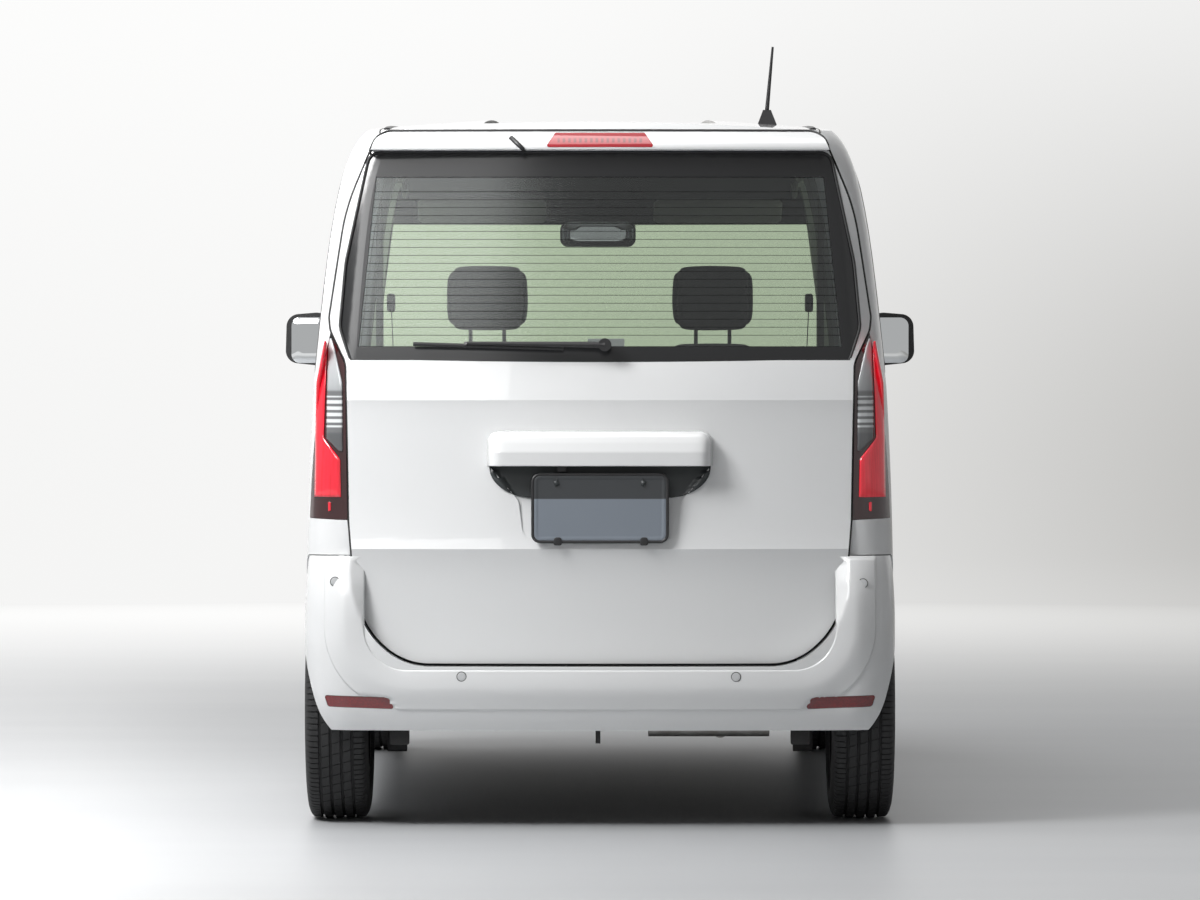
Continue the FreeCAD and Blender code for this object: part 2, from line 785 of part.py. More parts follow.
def reflector_zone(grow=0.0):
    """space of the right reflector, seen from behind"""
    return prism(REFLECTOR, "XZ", -half_length - 60, rear_axle_y - 150, grow)


def rear_bumper():
    """U-shaped bumper cover with a pocket for each reflector"""
    cover = bumper_tube(0).cut(bumper_tube(s.bumper_wall, 1)).common(bumper_zone())
    cover = cover.cut(arch(rear_axle_y, s.rear_arch_radius, -side_box, side_box))
    cover = cover.cut(prism(TAILGATE, "XZ", -half_length - 100, rear_axle_y, s.panel_gap))
    pocket = reflector_zone(0.5).cut(bumper_tube(reflector_wall + 1))
    cover = cover.cut(pocket).cut(mirrored(pocket))
    return sorted(cover.Solids, key=lambda solid: solid.Volume)[-1]


feature("rear_bumper", rear_bumper())


# Tail lamps at the rear corners and reflectors in the bumper

right_lamp = layer(0, s.lamp_depth).common(lamp_zone())
right_lamp = sorted(right_lamp.Solids, key=lambda solid: solid.Volume)[-1]
reflector = bumper_tube(1.5).cut(bumper_tube(reflector_wall)).common(reflector_zone())
reflector = sorted(reflector.Solids, key=lambda solid: solid.Volume)[-1]
feature("tail_lamps", Part.Compound([right_lamp, mirrored(right_lamp), reflector, mirrored(reflector)]))


# Front doors, sliding doors and their glass

def door(points, window):
    """right door: skin, inner plug, and the window cut through both"""
    panel = stepped_panel(layer(0, s.door_skin), points, "YZ", side_start, side_box, s.seal_overlap)
    panel = panel.cut(prism(window, "YZ", side_start, side_box))
    return sorted(panel.Solids, key=lambda solid: solid.Volume)[-1]


handle_z = s.belt_height - 165


def with_handle(panel, middle_y):
    """door with a cupped hollow in its skin and a pull handle across it"""
    def oblong(half_length_y, half_height, radius):
        corners = ((-1, -1), (1, -1), (1, 1), (-1, 1))
        return [(middle_y + a * half_length_y, handle_z + b * half_height, radius) for a, b in corners]

    hollow = oblong(50, 34, 30)
    grip = oblong(s.handle_length / 2, 13, 12)
    panel = panel.cut(layer(-1, 20).common(prism(hollow, "YZ", side_start, side_box)))
    return panel.fuse(layer(-6, 6).common(prism(grip, "YZ", side_start, side_box)))


def pane(points, depth, grow=0.0):
    """right pane of side glass at a depth under the outer surface"""
    sheet_layer = layer(depth, depth + s.glass_wall)
    return sheet_layer.common(prism(points, "YZ", side_start, side_box, grow)).Solids[0]


door_glass_depth = 12
front_door = door(FRONT_DOOR, FRONT_WINDOW)
front_slot = layer(door_glass_depth - 0.5, door_glass_depth + s.glass_wall + 0.5).common(
    prism(FRONT_WINDOW, "YZ", side_start, side_box, 8.5))
front_door = with_handle(front_door.cut(front_slot), door_pillar + s.handle_length / 2 + 32)
front_door_glass = pane(FRONT_WINDOW, door_glass_depth, 8)
sliding_door = with_handle(door(SLIDING_DOOR, SLIDING_WINDOW), door_pillar - s.handle_length / 2 - 32)
sliding_glass = pane(SLIDING_WINDOW, s.glass_inset)
feature("front_door_right", front_door)
feature("front_door_left", mirrored(front_door))
feature("front_door_glass_right", front_door_glass)
feature("front_door_glass_left", mirrored(front_door_glass))
feature("sliding_door_right", sliding_door)
feature("sliding_door_left", mirrored(sliding_door))


# Fixed glass: windscreen, quarter lights, sliding door panes and rear side windows

def windscreen():
    """windscreen, set just inside the pillars"""
    sheet_layer = layer(s.glass_inset, s.glass_inset + s.glass_wall)
    return sheet_layer.common(prism(WINDSCREEN, "XZ", door_front - 420, half_length)).Solids[0]


right_panes = [pane(REAR_WINDOW, s.glass_inset), pane(QUARTER_LIGHT, s.glass_inset), sliding_glass]
feature("body_glass", Part.Compound([windscreen()] + right_panes + [mirrored(item) for item in right_panes]))


# Tailgate: creased lower panel, plate recess, glass and a small spoiler lip

# Heights above the tailgate's lower edge with the inset of its rear face from the overall box;
# a crease runs across where one zone ends and the next begins.
TAIL_ZONES = [
    [(-5, 50), (80, 47), (180, 44), (240, 38), (282, 26)],
    [(282, 26), (310, 33), (400, 44), (520, 52), (620, 57), (647, 53)],
    [(647, 53), (690, 62), (745, 76)],
]
LIP_ZONE = [(1264, 108), (1272, 104), (1290, 110), (1316, 168)]
plate_z = tail_low + 383
garnish_low = tail_low + 486
GARNISH = [
    (-277, garnish_low, 26), (277, garnish_low, 26),
    (277, garnish_low + 84, 30), (-277, garnish_low + 84, 30),
]
RECESS = [
    (-276, garnish_low + 4), (276, garnish_low + 4), (200, garnish_low - 85, 40), (188, garnish_low - 180, 30),
    (-188, garnish_low - 180, 30), (-200, garnish_low - 85, 40),
]
STOP_LAMP = [(-135, tail_top - 42, 5), (135, tail_top - 42, 5), (110, tail_top - 4, 5), (-110, tail_top - 4, 5)]


def tail_tube(zone):
    """solid under the tailgate's own rear surface between two creases"""
    rows = [(tail_low + h, half_width - 8, -half_length + inset, 0, 105, 100, 28, 60) for h, inset in zone]
    return tube([tuple(float(number) for number in row) for row in rows])


tail_outer = fuse([tail_tube(zone) for zone in TAIL_ZONES])
lip_outer = tail_tube(LIP_ZONE)


def tail_prism(points, grow=0.0):
    """an outline seen from behind, as a solid through the rear end"""
    return prism(points, "XZ", -half_length - 100, rear_axle_y - 30, grow)


def tailgate():
    """tailgate with its glass rabbet, plate recess, plate pads and wiper motor"""
    upper_z = (tail_low + 745, tail_top + 20)
    upper = envelope(0).common(block((-800, 800), (-half_length - 10, rear_axle_y), upper_z))
    skin = tail_outer.fuse([upper, lip_outer]).cut(envelope(s.door_skin))
    gate = stepped_panel(skin, TAILGATE, "XZ", -half_length - 100, gate_front, s.tail_overlap)
    shoulders = block((-700, 700), (shoulder_front, gate_front + 1), (tail_top - 160, tail_top + 20))
    gate = gate.cut(shoulders.cut(block((-528, 528), (shoulder_front, gate_front + 1), (0, 2000))))
    gate = gate.cut(tail_prism(REAR_GLASS, -12))
    gate = gate.cut(layer(-1, glass_floor).common(tail_prism(REAR_GLASS, 0.5)))
    slope = prism(
        [(-half_length - 10, garnish_low - 190), (-half_length + 34, garnish_low - 190),
         (-half_length + 72, garnish_low + 10), (-half_length - 10, garnish_low + 10)], "YZ", -400, 400)
    gate = gate.cut(tail_prism(RECESS).common(slope))
    pad_z = plate_z + 62
    pads = [rod(V(x, -half_length + 18, pad_z), V(x, -half_length + 80, pad_z), 9) for x in (-105, 105)]
    gate = gate.fuse(pads)
    motor = block((-30, 60), (-half_length + 105, -half_length + 150), (glass_low - 10, glass_low + 62))
    gate = gate.fuse(motor)
    gate = gate.cut(tail_prism(STOP_LAMP).cut(tail_tube([(h, inset + 12) for h, inset in LIP_ZONE])))
    return sorted(gate.Solids, key=lambda solid: solid.Volume)[-1]


feature("tailgate", tailgate())

wiper_z = glass_low + 47
wiper_y = -half_length + 105
shaft = rod(V(12, wiper_y, wiper_z), V(12, wiper_y - 60, wiper_z), 8)
rear_glass = layer(s.glass_inset, s.glass_inset + s.glass_wall).common(tail_prism(REAR_GLASS))
shaft_bore = rod(V(12, wiper_y + 50, wiper_z), V(12, wiper_y - 80, wiper_z), 9)
feature("tailgate_glass", rear_glass.cut(shaft_bore).Solids[0])

feature("plate_garnish", envelope(-12).common(tail_prism(GARNISH)).cut(tail_outer).Solids[0])
feature("stop_lamp", lip_outer.common(tail_prism(STOP_LAMP, -0.5)).cut(
    tail_tube([(h, inset + 12) for h, inset in LIP_ZONE])).Solids[0])

plate = doc.addObject("Part::Box", "licence_plate")
bind(plate, Length=s.plate_width, Height=s.plate_height, Width=3)
put(plate, -s.plate_width / 2, -half_length + 15, plate_z - s.plate_height / 2)
nodes.append(plate)


def rear_wiper():
    """wiper arm and blade across the foot of the rear glass, on its shaft"""
    hub_end = V(12, wiper_y - 60, wiper_z)
    cap = rod(V(12, wiper_y - 44, wiper_z), V(12, wiper_y - 66, wiper_z), 16)
    arm = rod(hub_end, V(-330, wiper_y - 44, wiper_z + 4), 8, 4)
    blade = rod(V(-459, wiper_y - 32, wiper_z + 2), V(-90, wiper_y - 42, wiper_z - 9), 5)
    joint = rod(V(-330, wiper_y - 52, wiper_z + 4), V(-325, wiper_y - 32, wiper_z - 2), 4)
    return fuse([shaft, cap, arm, joint, blade])


feature("rear_wiper", rear_wiper())


# Door mirrors

def door_mirror():
    """right door mirror: shell and foot on the front corner of the door"""
    span = s.mirror_span / 2
    low = s.belt_height + 38
    shell = prism(
        [(half_width + 26, low, 30), (span, low + 14, 36), (span - 4, low + 148, 36),
         (half_width + 30, low + 158, 40)],
        "XZ", door_front - 135, door_front - 60)
    foot_in = V(half_width - 40, door_front - 105, low + 6)
    foot_out = V(half_width + 60, door_front - 95, low + 26)
    foot = rod(foot_in, foot_out, 20, 16)
    return shell.fuse(foot.cut(envelope(0))).removeSplitter()


mirror = door_mirror()
feature("door_mirror_right", mirror)
feature("door_mirror_left", mirrored(mirror))


# Floor, wheelhouses and rear end panel

hook_y = -half_length + 96
hook_z = s.sill_height + 37
house_edge = half_width - s.frame_depth + 10


def floor_pan():
    """whole floor: toe board, flat floor, kick-up, load floor, rear end panel and tow hook"""
    low, high, wall = s.floor_height, s.cargo_height, s.floor_wall
    front = s.bulkhead_y
    kick = rear_axle_y + 452
    pan = prism(
        [(front, low + 310), (front - 25, low + 310), (front - 35, low + 245), (front - 157, low),
         (kick, low), (kick - 50, high), (-half_length - 20, high), (-half_length - 20, high - wall),
         (kick - 80, high - wall), (kick - 28, low - wall), (front - 143, low - wall), (front, low + 230)],
        "YZ", -side_box, side_box)
    pan = pan.common(envelope(s.frame_depth))
    rear = block((-485, 485), (-half_length, rear_axle_y), (s.sill_height + 60, tail_low + s.tail_overlap))
    rear = layer(s.frame_step, s.frame_depth).common(rear)
    inner = block((-600, 600), (-half_length, rear_axle_y - 100), (s.sill_height + 60, high))
    inner = layer(s.frame_depth, s.frame_depth + 20).common(inner)
    pan = pan.fuse([rear, inner])
    house = arch(rear_axle_y, s.rear_arch_radius + s.wheelhouse_wall, wheel_x - 115, house_edge)
    pan = pan.cut(house).cut(mirrored(house))
    pan = pan.cut(arch(front_axle_y, s.front_arch_radius, 410, side_box))
    pan = pan.cut(mirrored(arch(front_axle_y, s.front_arch_radius, 410, side_box)))
    hook = prism(
        [(hook_y - 24, hook_z - 26, 18), (hook_y + 34, hook_z - 26, 20), (hook_y + 34, hook_z + 40, 10),
         (hook_y - 24, hook_z + 40, 10)], "YZ", -11, 1)
    pan = pan.fuse(hook.cut(rod(V(-20, hook_y, hook_z), V(20, hook_y, hook_z), s.tow_eye_radius)))
    return pan


def rear_wheelhouse():
    """right rear wheelhouse, a shell over the wheel that stands on the load floor's edge"""
    house = arch(rear_axle_y, s.rear_arch_radius + s.wheelhouse_wall, wheel_x - 115, house_edge)
    room = arch(rear_axle_y, s.rear_arch_radius, wheel_x - 107, side_box)
    space = block((0, side_box), (-half_length, 0), (s.tyre_radius + 62, 1000))
    house = house.common(envelope(s.frame_depth)).common(space).cut(room)
    return sorted(house.Solids, key=lambda solid: solid.Volume)[-1]


whole_floor = floor_pan()
joint_y = rear_axle_y + 456
for label, reach in (("floor_pan", (joint_y, half_length)), ("load_floor", (-half_length - 50, joint_y))):
    half = whole_floor.common(block((-side_box, side_box), reach, (0, 1000)))
    feature(label, sorted(half.Solids, key=lambda solid: solid.Volume)[-1])
house = rear_wheelhouse()
feature("rear_wheelhouse_right", house)
feature("rear_wheelhouse_left", mirrored(house))


# Front structure: bulkhead, cowl, aprons with strut towers, radiator frame

apron_x = 398


def front_structure():
    """bulkhead with the cowl above it, aprons, towers and the radiator frame"""
    y = s.bulkhead_y
    inside = envelope(s.fender_wall)
    wall = block((-side_box, side_box), (y, y + 18), (s.floor_height + 230, s.belt_height - 50)).common(inside)
    cowl = belt_plan(cowl_step, s.belt_height - 50, s.belt_height - 4).cut(belt_plan(-60, 600, 1400))
    cowl = cowl.common(envelope(2)).common(block((-hood_half, hood_half), (y, half_length), (0, 2000)))
    tray = block((-hood_half, hood_half), (y, y + 230), (s.belt_height - 62, s.belt_height - 50)).common(inside)
    foot_x = s.roof_edge + half_gap
    foot = layer(0, 45).common(block((-foot_x, foot_x), (y, half_length), (s.belt_height - 4, belt_line + 8)))
    foot = foot.cut(hood_zone(cowl_step))
    pieces = [wall, cowl, tray, foot]
    front_end = half_length - 130
    tower_z = s.sill_height + 595
    for side in (-1, 1):
        inner, outer = sorted((side * apron_x, side * (apron_x + 12)))
        pieces.append(block((inner, outer), (y + 10, front_end), (s.sill_height + 160, tower_z + 14)))
        inner, outer = sorted((side * apron_x, side * 655))
        pieces.append(block((inner, outer), (front_axle_y - 110, front_axle_y + 110), (tower_z, tower_z + 14)))
        inner, outer = sorted((side * 600, side * 690))
        rail_block = block((inner, outer), (y + 10, front_end), (tower_z - 40, tower_z + 14))
        pieces.append(rail_block.common(envelope(s.lamp_depth + 4)))
    ring = block((-600, 600), (front_end - 14, front_end + 10), (s.sill_height + 60, tower_z + 50))
    ring = ring.cut(block((-330, 330), (front_end - 20, front_end + 20), (s.sill_height + 110, tower_z)))
    pieces.append(ring.common(envelope(s.bumper_wall + 6)))
    radiator = block((-335, 335), (front_end - 30, front_end - 12), (s.sill_height + 100, tower_z + 5))
    pieces.append(radiator)
    return fuse(pieces)


feature("front_structure", front_structure())


# Cabin: dashboard, seats and interior mirror

column_low = V(s.seat_spacing, s.bulkhead_y - 215, s.belt_height - 250)
wheel_tilt = math.radians(28)
column_axis = V(0, -math.cos(wheel_tilt), math.sin(wheel_tilt))
column_length = 265
wheel_centre = column_low + column_axis * (column_length + 60)


def dashboard():
    """moulded dashboard across the cabin, with the steering column's shroud"""
    y, z = s.bulkhead_y, s.belt_height
    body = prism(
        [(y - 1, z - 62), (y - 140, z - 66, 60), (y - 235, z - 105, 40), (y - 220, z - 240, 60),
         (y - 120, z - 420, 60), (y - 1, z - 430)], "YZ", -half_width + 132, half_width - 132)
    for side in (-1, 1):
        foot_x = sorted((side * (s.roof_edge - 1), side * half_width))
        body = body.cut(block(foot_x, (door_front - 35, y + 10), (z - 200, z)))
    shroud = rod(column_low - column_axis * 60, column_low + column_axis * column_length, 46, 36)
    console = prism([(y - 60, z - 300), (y - 250, z - 250, 30), (y - 230, z - 520, 30), (y - 60, z - 560)],
                    "YZ", -110, 110)
    return fuse([body, shroud, console])


feature("dashboard", dashboard())


def front_seat(x):
    """front seat as one plain cushion form on its base"""
    low = s.floor_height
    half = s.seat_width / 2
    y = s.bulkhead_y - 575
    side = prism(
        [(y - 5, low + 95, 20), (y + 15, low + 235, 45), (y - 420, low + 245, 40), (y - 560, low + 880, 45),
         (y - 665, low + 885, 50), (y - 575, low + 230, 60), (y - 530, low + 95, 20)], "YZ", x - half, x + half)
    base = block((x - half + 60, x + half - 60), (y - 480, y - 60), (low, low + 110))
    rest = prism(
        [(y - 590, low + 905, 30), (y - 572, low + 1082, 35), (y - 655, low + 1082, 35),
         (y - 680, low + 905, 30)], "YZ", x - 108, x + 108)
    posts = [rod(V(x + t, y - 620, low + 860), V(x + t, y - 632, low + 920), 6) for t in (-45, 45)]
    return fuse([side, base, rest] + posts)


feature("front_seats", Part.Compound([front_seat(-s.seat_spacing), front_seat(s.seat_spacing)]))

kick_y = rear_axle_y + 452
seat_low = s.floor_height
rear_seat = padded("rear_seat", "YZ_Plane", [
    (kick_y + 470, seat_low), (kick_y + 475, seat_low + 225), (kick_y + 50, seat_low + 245),
    (kick_y - 55, seat_low + 860), (kick_y - 155, seat_low + 865), (kick_y - 43, seat_low + 172),
    (kick_y + 6, seat_low),
], s.overall_width - 310)


def interior_mirror():
    """interior mirror with its camera housing on a stalk from the windscreen"""
    z = s.overall_height - 290
    y = door_front - 210
    outline = [(-113, z - 36, 22), (101, z - 36, 22), (101, z + 36, 26), (-113, z + 36, 26)]
    head = prism(outline, "XZ", y, y + 34)
    stalk = rod(V(0, y + 30, z + 10), V(0, y + 170, z + 40), 16).common(envelope(s.glass_inset + s.glass_wall))
    return fuse([head, stalk])


feature("interior_mirror", interior_mirror())


# Steering: wheel, rack and front knuckles with struts

wheel_turn = FreeCAD.Rotation(V(0, 0, 1), column_axis)


def steering_wheel():
    """rim, three spokes and hub about the column axis"""
    rim = Part.makeTorus(float(s.steering_wheel_radius), 14)
    hub = Part.makeCylinder(52, 46, V(0, 0, -34))
    spokes = [rod(V(0, 0, -10), V(math.cos(a), math.sin(a), 0) * float(s.steering_wheel_radius - 4), 15, 9)
              for a in (0, math.pi, -math.pi / 2)]
    return fuse([rim, hub] + spokes)


wheel_item = doc.addObject("Part::Feature", "steering_wheel")
wheel_item.Shape = steering_wheel()
wheel_item.Placement = FreeCAD.Placement(wheel_centre, wheel_turn)
nodes.append(wheel_item)

kingpin_low_z = s.tyre_radius - 98
kingpin_high_z = s.sill_height + 605
steering_arm = 110
rack_z = s.tyre_radius - 50
rack_y = front_axle_y - steering_arm
arm_z = rack_z + 38
ball_pin_radius = 8


def kingpin(z):
    """point of the right kingpin axis at a height"""
    share = (z - kingpin_low_z) / (kingpin_high_z - kingpin_low_z)
    return V(s.kingpin_low_x + (s.kingpin_high_x - s.kingpin_low_x) * share, front_axle_y, z)


def front_knuckle():
    """right hub carrier with stub, strut, spring and steering arm"""
    hub = V(wheel_x, front_axle_y, s.tyre_radius)
    stub = rod(hub + V(-40, 0, 0), hub + V(30, 0, 0), s.stub_radius)
    bell = rod(hub + V(-58, 0, 0), hub + V(-86, 0, 0), 34, 22)
    carrier = rod(hub + V(-58, 0, 0), hub + V(-17, 0, 0), 46)
    low = kingpin(kingpin_low_z)
    ball = rod(kingpin(kingpin_low_z - 10), kingpin(kingpin_low_z + 22), 17)
    ball_pin = rod(kingpin(kingpin_low_z - 34), low, ball_pin_radius)
    lower_web = rod(hub + V(-48, 0, -30), low + V(8, 0, 10), 20, 15)
    upper_web = rod(hub + V(-48, 0, 10), kingpin(float(s.tyre_radius) + 140), 24, 20)
    strut = rod(kingpin(float(s.tyre_radius) + 120), kingpin(float(kingpin_high_z) - 16), 21)
    spring = rod(kingpin(float(s.tyre_radius) + 305), kingpin(float(kingpin_high_z) - 34), 58)
    arm_end = V(kingpin(float(arm_z)).x, rack_y, arm_z)
    arm = rod(hub + V(-50, -20, -22), arm_end, 13, 9)
    eye = rod(arm_end + V(0, 0, -8), arm_end + V(0, 0, 10), 15)
    return fuse([carrier, stub, bell, ball, ball_pin, lower_web, upper_web, strut, spring, arm, eye])


knuckle = front_knuckle()
feature("front_knuckle_right", knuckle)
feature("front_knuckle_left", mirrored(knuckle))


def steering_rack():
    """rack bar with a ball end under each steering arm"""
    end_x = kingpin(float(arm_z)).x
    bar = rod(V(-end_x, rack_y, rack_z), V(end_x, rack_y, rack_z), 10)
    balls = [rod(V(x, rack_y, rack_z - 13), V(x, rack_y, rack_z + 12), 14) for x in (-end_x, end_x)]
    return fuse([bar] + balls)


feature("steering_rack", steering_rack())


# Underbody: front subframe with lower arms, engine, rear axle, tank, exhaust

def front_subframe():
    """cross member with the rack housing and the lower arms"""
    cross = block((-340, 340), (rack_y - 110, rack_y - 30), (s.sill_height - 12, s.sill_height + 50))
    rack_housing = rod(V(-290, rack_y, rack_z), V(290, rack_y, rack_z), 24)
    brackets = [block((x - 20, x + 20), (rack_y - 60, rack_y), (rack_z - 14, rack_z + 14)) for x in (-230, 230)]
    leg_y, leg_z = (rack_y - 200, rack_y + 420), (s.sill_height - 5, s.sill_height + 30)
    legs = [block(sorted((side * 300, side * 330)), leg_y, leg_z) for side in (-1, 1)]
    pieces = [cross, rack_housing] + brackets + legs
    for side in (-1, 1):
        ball = V(side * s.kingpin_low_x, front_axle_y, kingpin_low_z - 28)
        pieces.append(rod(ball + V(0, 0, -8), ball + V(0, 0, 12), 26))
        pieces.append(rod(V(side * 315, rack_y - 70, s.sill_height + 5), ball + V(0, 0, -2), 16, 9))
        pieces.append(rod(V(side * 315, front_axle_y + 150, s.sill_height + 5), ball + V(0, 0, -2), 16, 9))
    frame = fuse(pieces)
    frame = frame.cut(rod(V(-400, rack_y, rack_z), V(400, rack_y, rack_z), 10 + s.stub_clearance))
    socket = rod(kingpin(kingpin_low_z - 60), kingpin(kingpin_low_z + 20), ball_pin_radius + s.stub_clearance)
    return frame.cut([socket, mirrored(socket)])


feature("front_subframe", front_subframe())

engine = doc.addObject("Part::Box", "engine_block")
bind(engine, Length=500, Width=340, Height=470)
put(engine, -250, front_axle_y - 60, s.sill_height + 62)
nodes.append(engine)

shaft_x = wheel_x - 107


def drive_shaft():
    """right drive shaft from the engine to the knuckle, with its outer boot"""
    inner, boot, outer = (V(x, front_axle_y, s.tyre_radius) for x in (250, shaft_x - 60, shaft_x))
    return fuse([rod(inner, outer, 13), rod(boot, outer, 30, 15)])


feature("drive_shafts", Part.Compound([drive_shaft(), mirrored(drive_shaft())]))


def rear_axle():
    """twist beam with trailing arms, drums, stubs, springs and dampers"""
    z = s.tyre_radius
    foot_z = s.sill_height
    pieces = [rod(V(-520, rear_axle_y + 212, z + 12), V(520, rear_axle_y + 212, z + 12), 36)]
    under = s.cargo_height - s.floor_wall
    for side in (-1, 1):
        pivot = V(side * 505, rear_axle_y + 342, z + 12)
        hub = V(side * (wheel_x - 112), rear_axle_y, z)
        pieces.append(rod(pivot, hub, 30, 26))
        mount_x, spring_x = sorted((side * 480, side * 530)), sorted((side * 378, side * 530))
        pieces.append(block(mount_x, (rear_axle_y + 316, rear_axle_y + 368), (z - 18, under)))
        inner, drum_in, seal, drum_out, outer = (
            V(side * (wheel_x + offset), rear_axle_y, z) for offset in (-125, -62, -60, -18, 30))
        pieces += [rod(hub, outer, s.stub_radius), rod(drum_in, drum_out, 104), rod(inner, seal, 34)]
        pieces.append(rod(V(side * 440, rear_axle_y + 150, z - 8), V(side * 440, rear_axle_y + 150, under), 52))
        pieces.append(block(spring_x, (rear_axle_y + 90, rear_axle_y + 198), (z - 18, z + 2)))
        pieces.append(rod(V(side * 508, rear_axle_y - 34, foot_z), V(side * 490, rear_axle_y - 30, under), 24))
        foot = prism(
            [(rear_axle_y - 58, foot_z - 26, 12), (rear_axle_y - 8, foot_z - 26, 12),
             (rear_axle_y + 26, z - 10), (rear_axle_y - 58, z - 10)], "YZ", 484.0, 532.0)
        pieces.append(foot if side > 0 else mirrored(foot))
    return fuse(pieces).common(block((-side_box, side_box), (-half_length, 0), (0, under)))


feature("rear_axle", rear_axle())

tank = doc.addObject("Part::Box", "tank_block")
tank_depth = 92
bind(tank, Length=600, Width=520, Height=tank_depth)
put(tank, -330, rear_axle_y + 520, s.floor_height - s.floor_wall - tank_depth)
doc.recompute()
fuel_tank = doc.addObject("Part::Fillet", "fuel_tank")
fuel_tank.Base = tank
tank_low = tank.Shape.BoundBox.ZMin
edge_boxes = [edge.BoundBox for edge in tank.Shape.Edges]
bottom_edges = [i + 1 for i, box in enumerate(edge_boxes) if box.ZMax < tank_low + 1]
upright_edges = [i + 1 for i, box in enumerate(edge_boxes) if box.ZLength > tank_depth - 1]
fuel_tank.Edges = [(i, 45.0, 45.0) for i in upright_edges] + [(i, 22.0, 22.0) for i in bottom_edges]
nodes.append(fuel_tank)


def exhaust():
    """pipe from the engine under the floor to the silencer behind the rear axle"""
    z = s.sill_height + 33
    stations = [V(180, front_axle_y - 60, z + 190), V(180, front_axle_y - 130, z + 190),
                V(190, front_axle_y - 190, z + 70), V(400, front_axle_y - 380, z), V(400, rear_axle_y + 100, z),
                V(300, rear_axle_y - 60, z), V(300, rear_axle_y - 110, z)]
    run = pipe(stations, 60, 21)
    silencer = prism(
        [(rear_axle_y - 96, z - 12, 30), (rear_axle_y - 219, z - 12, 30), (rear_axle_y - 219, z + 72, 36),
         (rear_axle_y - 96, z + 72, 36)], "YZ", 120, 420)
    return fuse([run, silencer])


feature("exhaust", exhaust())


# Wheels: the same profile on each axle end

flange = s.flange_width / 2
seat_x = flange - 6
bore_radius = s.stub_radius + s.stub_clearance
WHEEL = [
    (-12, bore_radius), (-12, 56), (20, 64), (24, s.rim_radius - 20), (4 - seat_x, s.rim_radius - 12),
    (-flange, s.rim_radius - 8), (-flange, s.flange_radius), (-seat_x, s.flange_radius),
    (-seat_x, s.rim_radius), (seat_x, s.rim_radius), (seat_x, s.flange_radius), (flange, s.flange_radius),
    (flange, s.rim_radius - 6), (flange - 6, s.rim_radius - 16), (flange - 2, 70), (flange - 6, 30),
    (flange - 6, 0), (32, 0), (32, bore_radius),
]
wall_x = s.tyre_width / 2
tread = wall_x - 17
TYRE = [
    (-seat_x, s.rim_radius), (-seat_x, s.flange_radius + 1), (-wall_x, s.flange_radius + 30),
    (3 - wall_x, s.tyre_radius - 20), (-tread, s.tyre_radius), (tread, s.tyre_radius),
    (wall_x - 3, s.tyre_radius - 20), (wall_x, s.flange_radius + 30), (seat_x, s.flange_radius + 1),
    (seat_x, s.rim_radius),
]
COVER_WINDOW = [
    (s.window_inner_radius * -0.16, s.window_inner_radius * 0.99),
    (s.window_inner_radius * 0.16, s.window_inner_radius * 0.99),
    (s.window_outer_radius * 0.2, s.window_outer_radius * 0.98),
    (s.window_outer_radius * -0.2, s.window_outer_radius * 0.98),
]


def with_windows(body):
    """wheel with its ring of windows through the cover and disc"""
    pocket = body.newObject("PartDesign::Pocket", body.Name + "_window")
    pocket.Profile = profile_sketch(body, "YZ_Plane", COVER_WINDOW)
    pocket.Type = "ThroughAll"
    pocket.SideType = "Symmetric"
    ring = body.newObject("PartDesign::PolarPattern", body.Name + "_windows")
    ring.Originals = [pocket]
    axle = [item for item in body.Origin.OriginFeatures if item.Role == "X_Axis"][0]
    ring.Axis = (axle, [""])
    ring.Angle = 360
    bind(ring, Occurrences=s.window_count)
    body.Tip = ring
    doc.recompute()


for end, axle_y in (("front", front_axle_y), ("rear", rear_axle_y)):
    for side, sign in (("left", -1), ("right", 1)):
        wheel = revolved("wheel_%s_%s" % (end, side), [(sign * a, b) for a, b in WHEEL])
        with_windows(wheel)
        tyre = revolved("tyre_%s_%s" % (end, side), [(sign * a, b) for a, b in TYRE])
        for body in (wheel, tyre):
            put(body, sign * wheel_x, axle_y, s.tyre_radius)


# Small outer fittings: antenna and windscreen wipers

def antenna():
    """rod antenna leaning back from its foot on the roof"""
    foot = V(424, rear_axle_y + 202, s.overall_height - 40)
    rings = []
    for half, taper, rear, front, rise in ((26, 6, -40, 45, -8), (10, 2, -25, 5, 34)):
        corners = [(-half, rear), (half, rear), (half - taper, front), (taper - half, front), (-half, rear)]
        rings.append(Part.Wire(Part.makePolygon([foot + V(x, y, rise) for x, y in corners])))
    base = Part.makeLoft(rings, True)
    mast = rod(foot + V(0, -10, 30), foot + V(14, -40, 30 + float(s.antenna_length) - 32), 5.5, 3)
    return fuse([base, mast]).cut(envelope(0))


feature("antenna", antenna())


def skin_y(x, z):
    """how far forward the outer surface is at a place seen from ahead"""
    line = Part.LineSegment(V(x, door_front - 500, z), V(x, half_length + 100, z)).toShape()
    return line.common(envelope(0)).BoundBox.YMax


def windscreen_wiper(pivot_x, tip_x, tip_z):
    """arm and blade resting along the foot of the windscreen"""
    z = s.belt_height + 4
    start = V(pivot_x, skin_y(pivot_x, z) + 12, z)
    tip = V(tip_x, skin_y(tip_x, tip_z) + 8, tip_z)
    middle_x, middle_z = (pivot_x + tip_x) / 2, (z + tip_z) / 2
    knee = V(middle_x, skin_y(middle_x, middle_z) + 12, middle_z)
    cap = rod(start + V(0, 0, -2), start + V(0, 0, 8), 9)
    joint = rod(knee + V(0, 0, -7), knee + V(0, 0, 7), 7)
    return fuse([cap, rod(start, knee, 6, 5), joint, rod(knee, tip, 4.5, 3)])


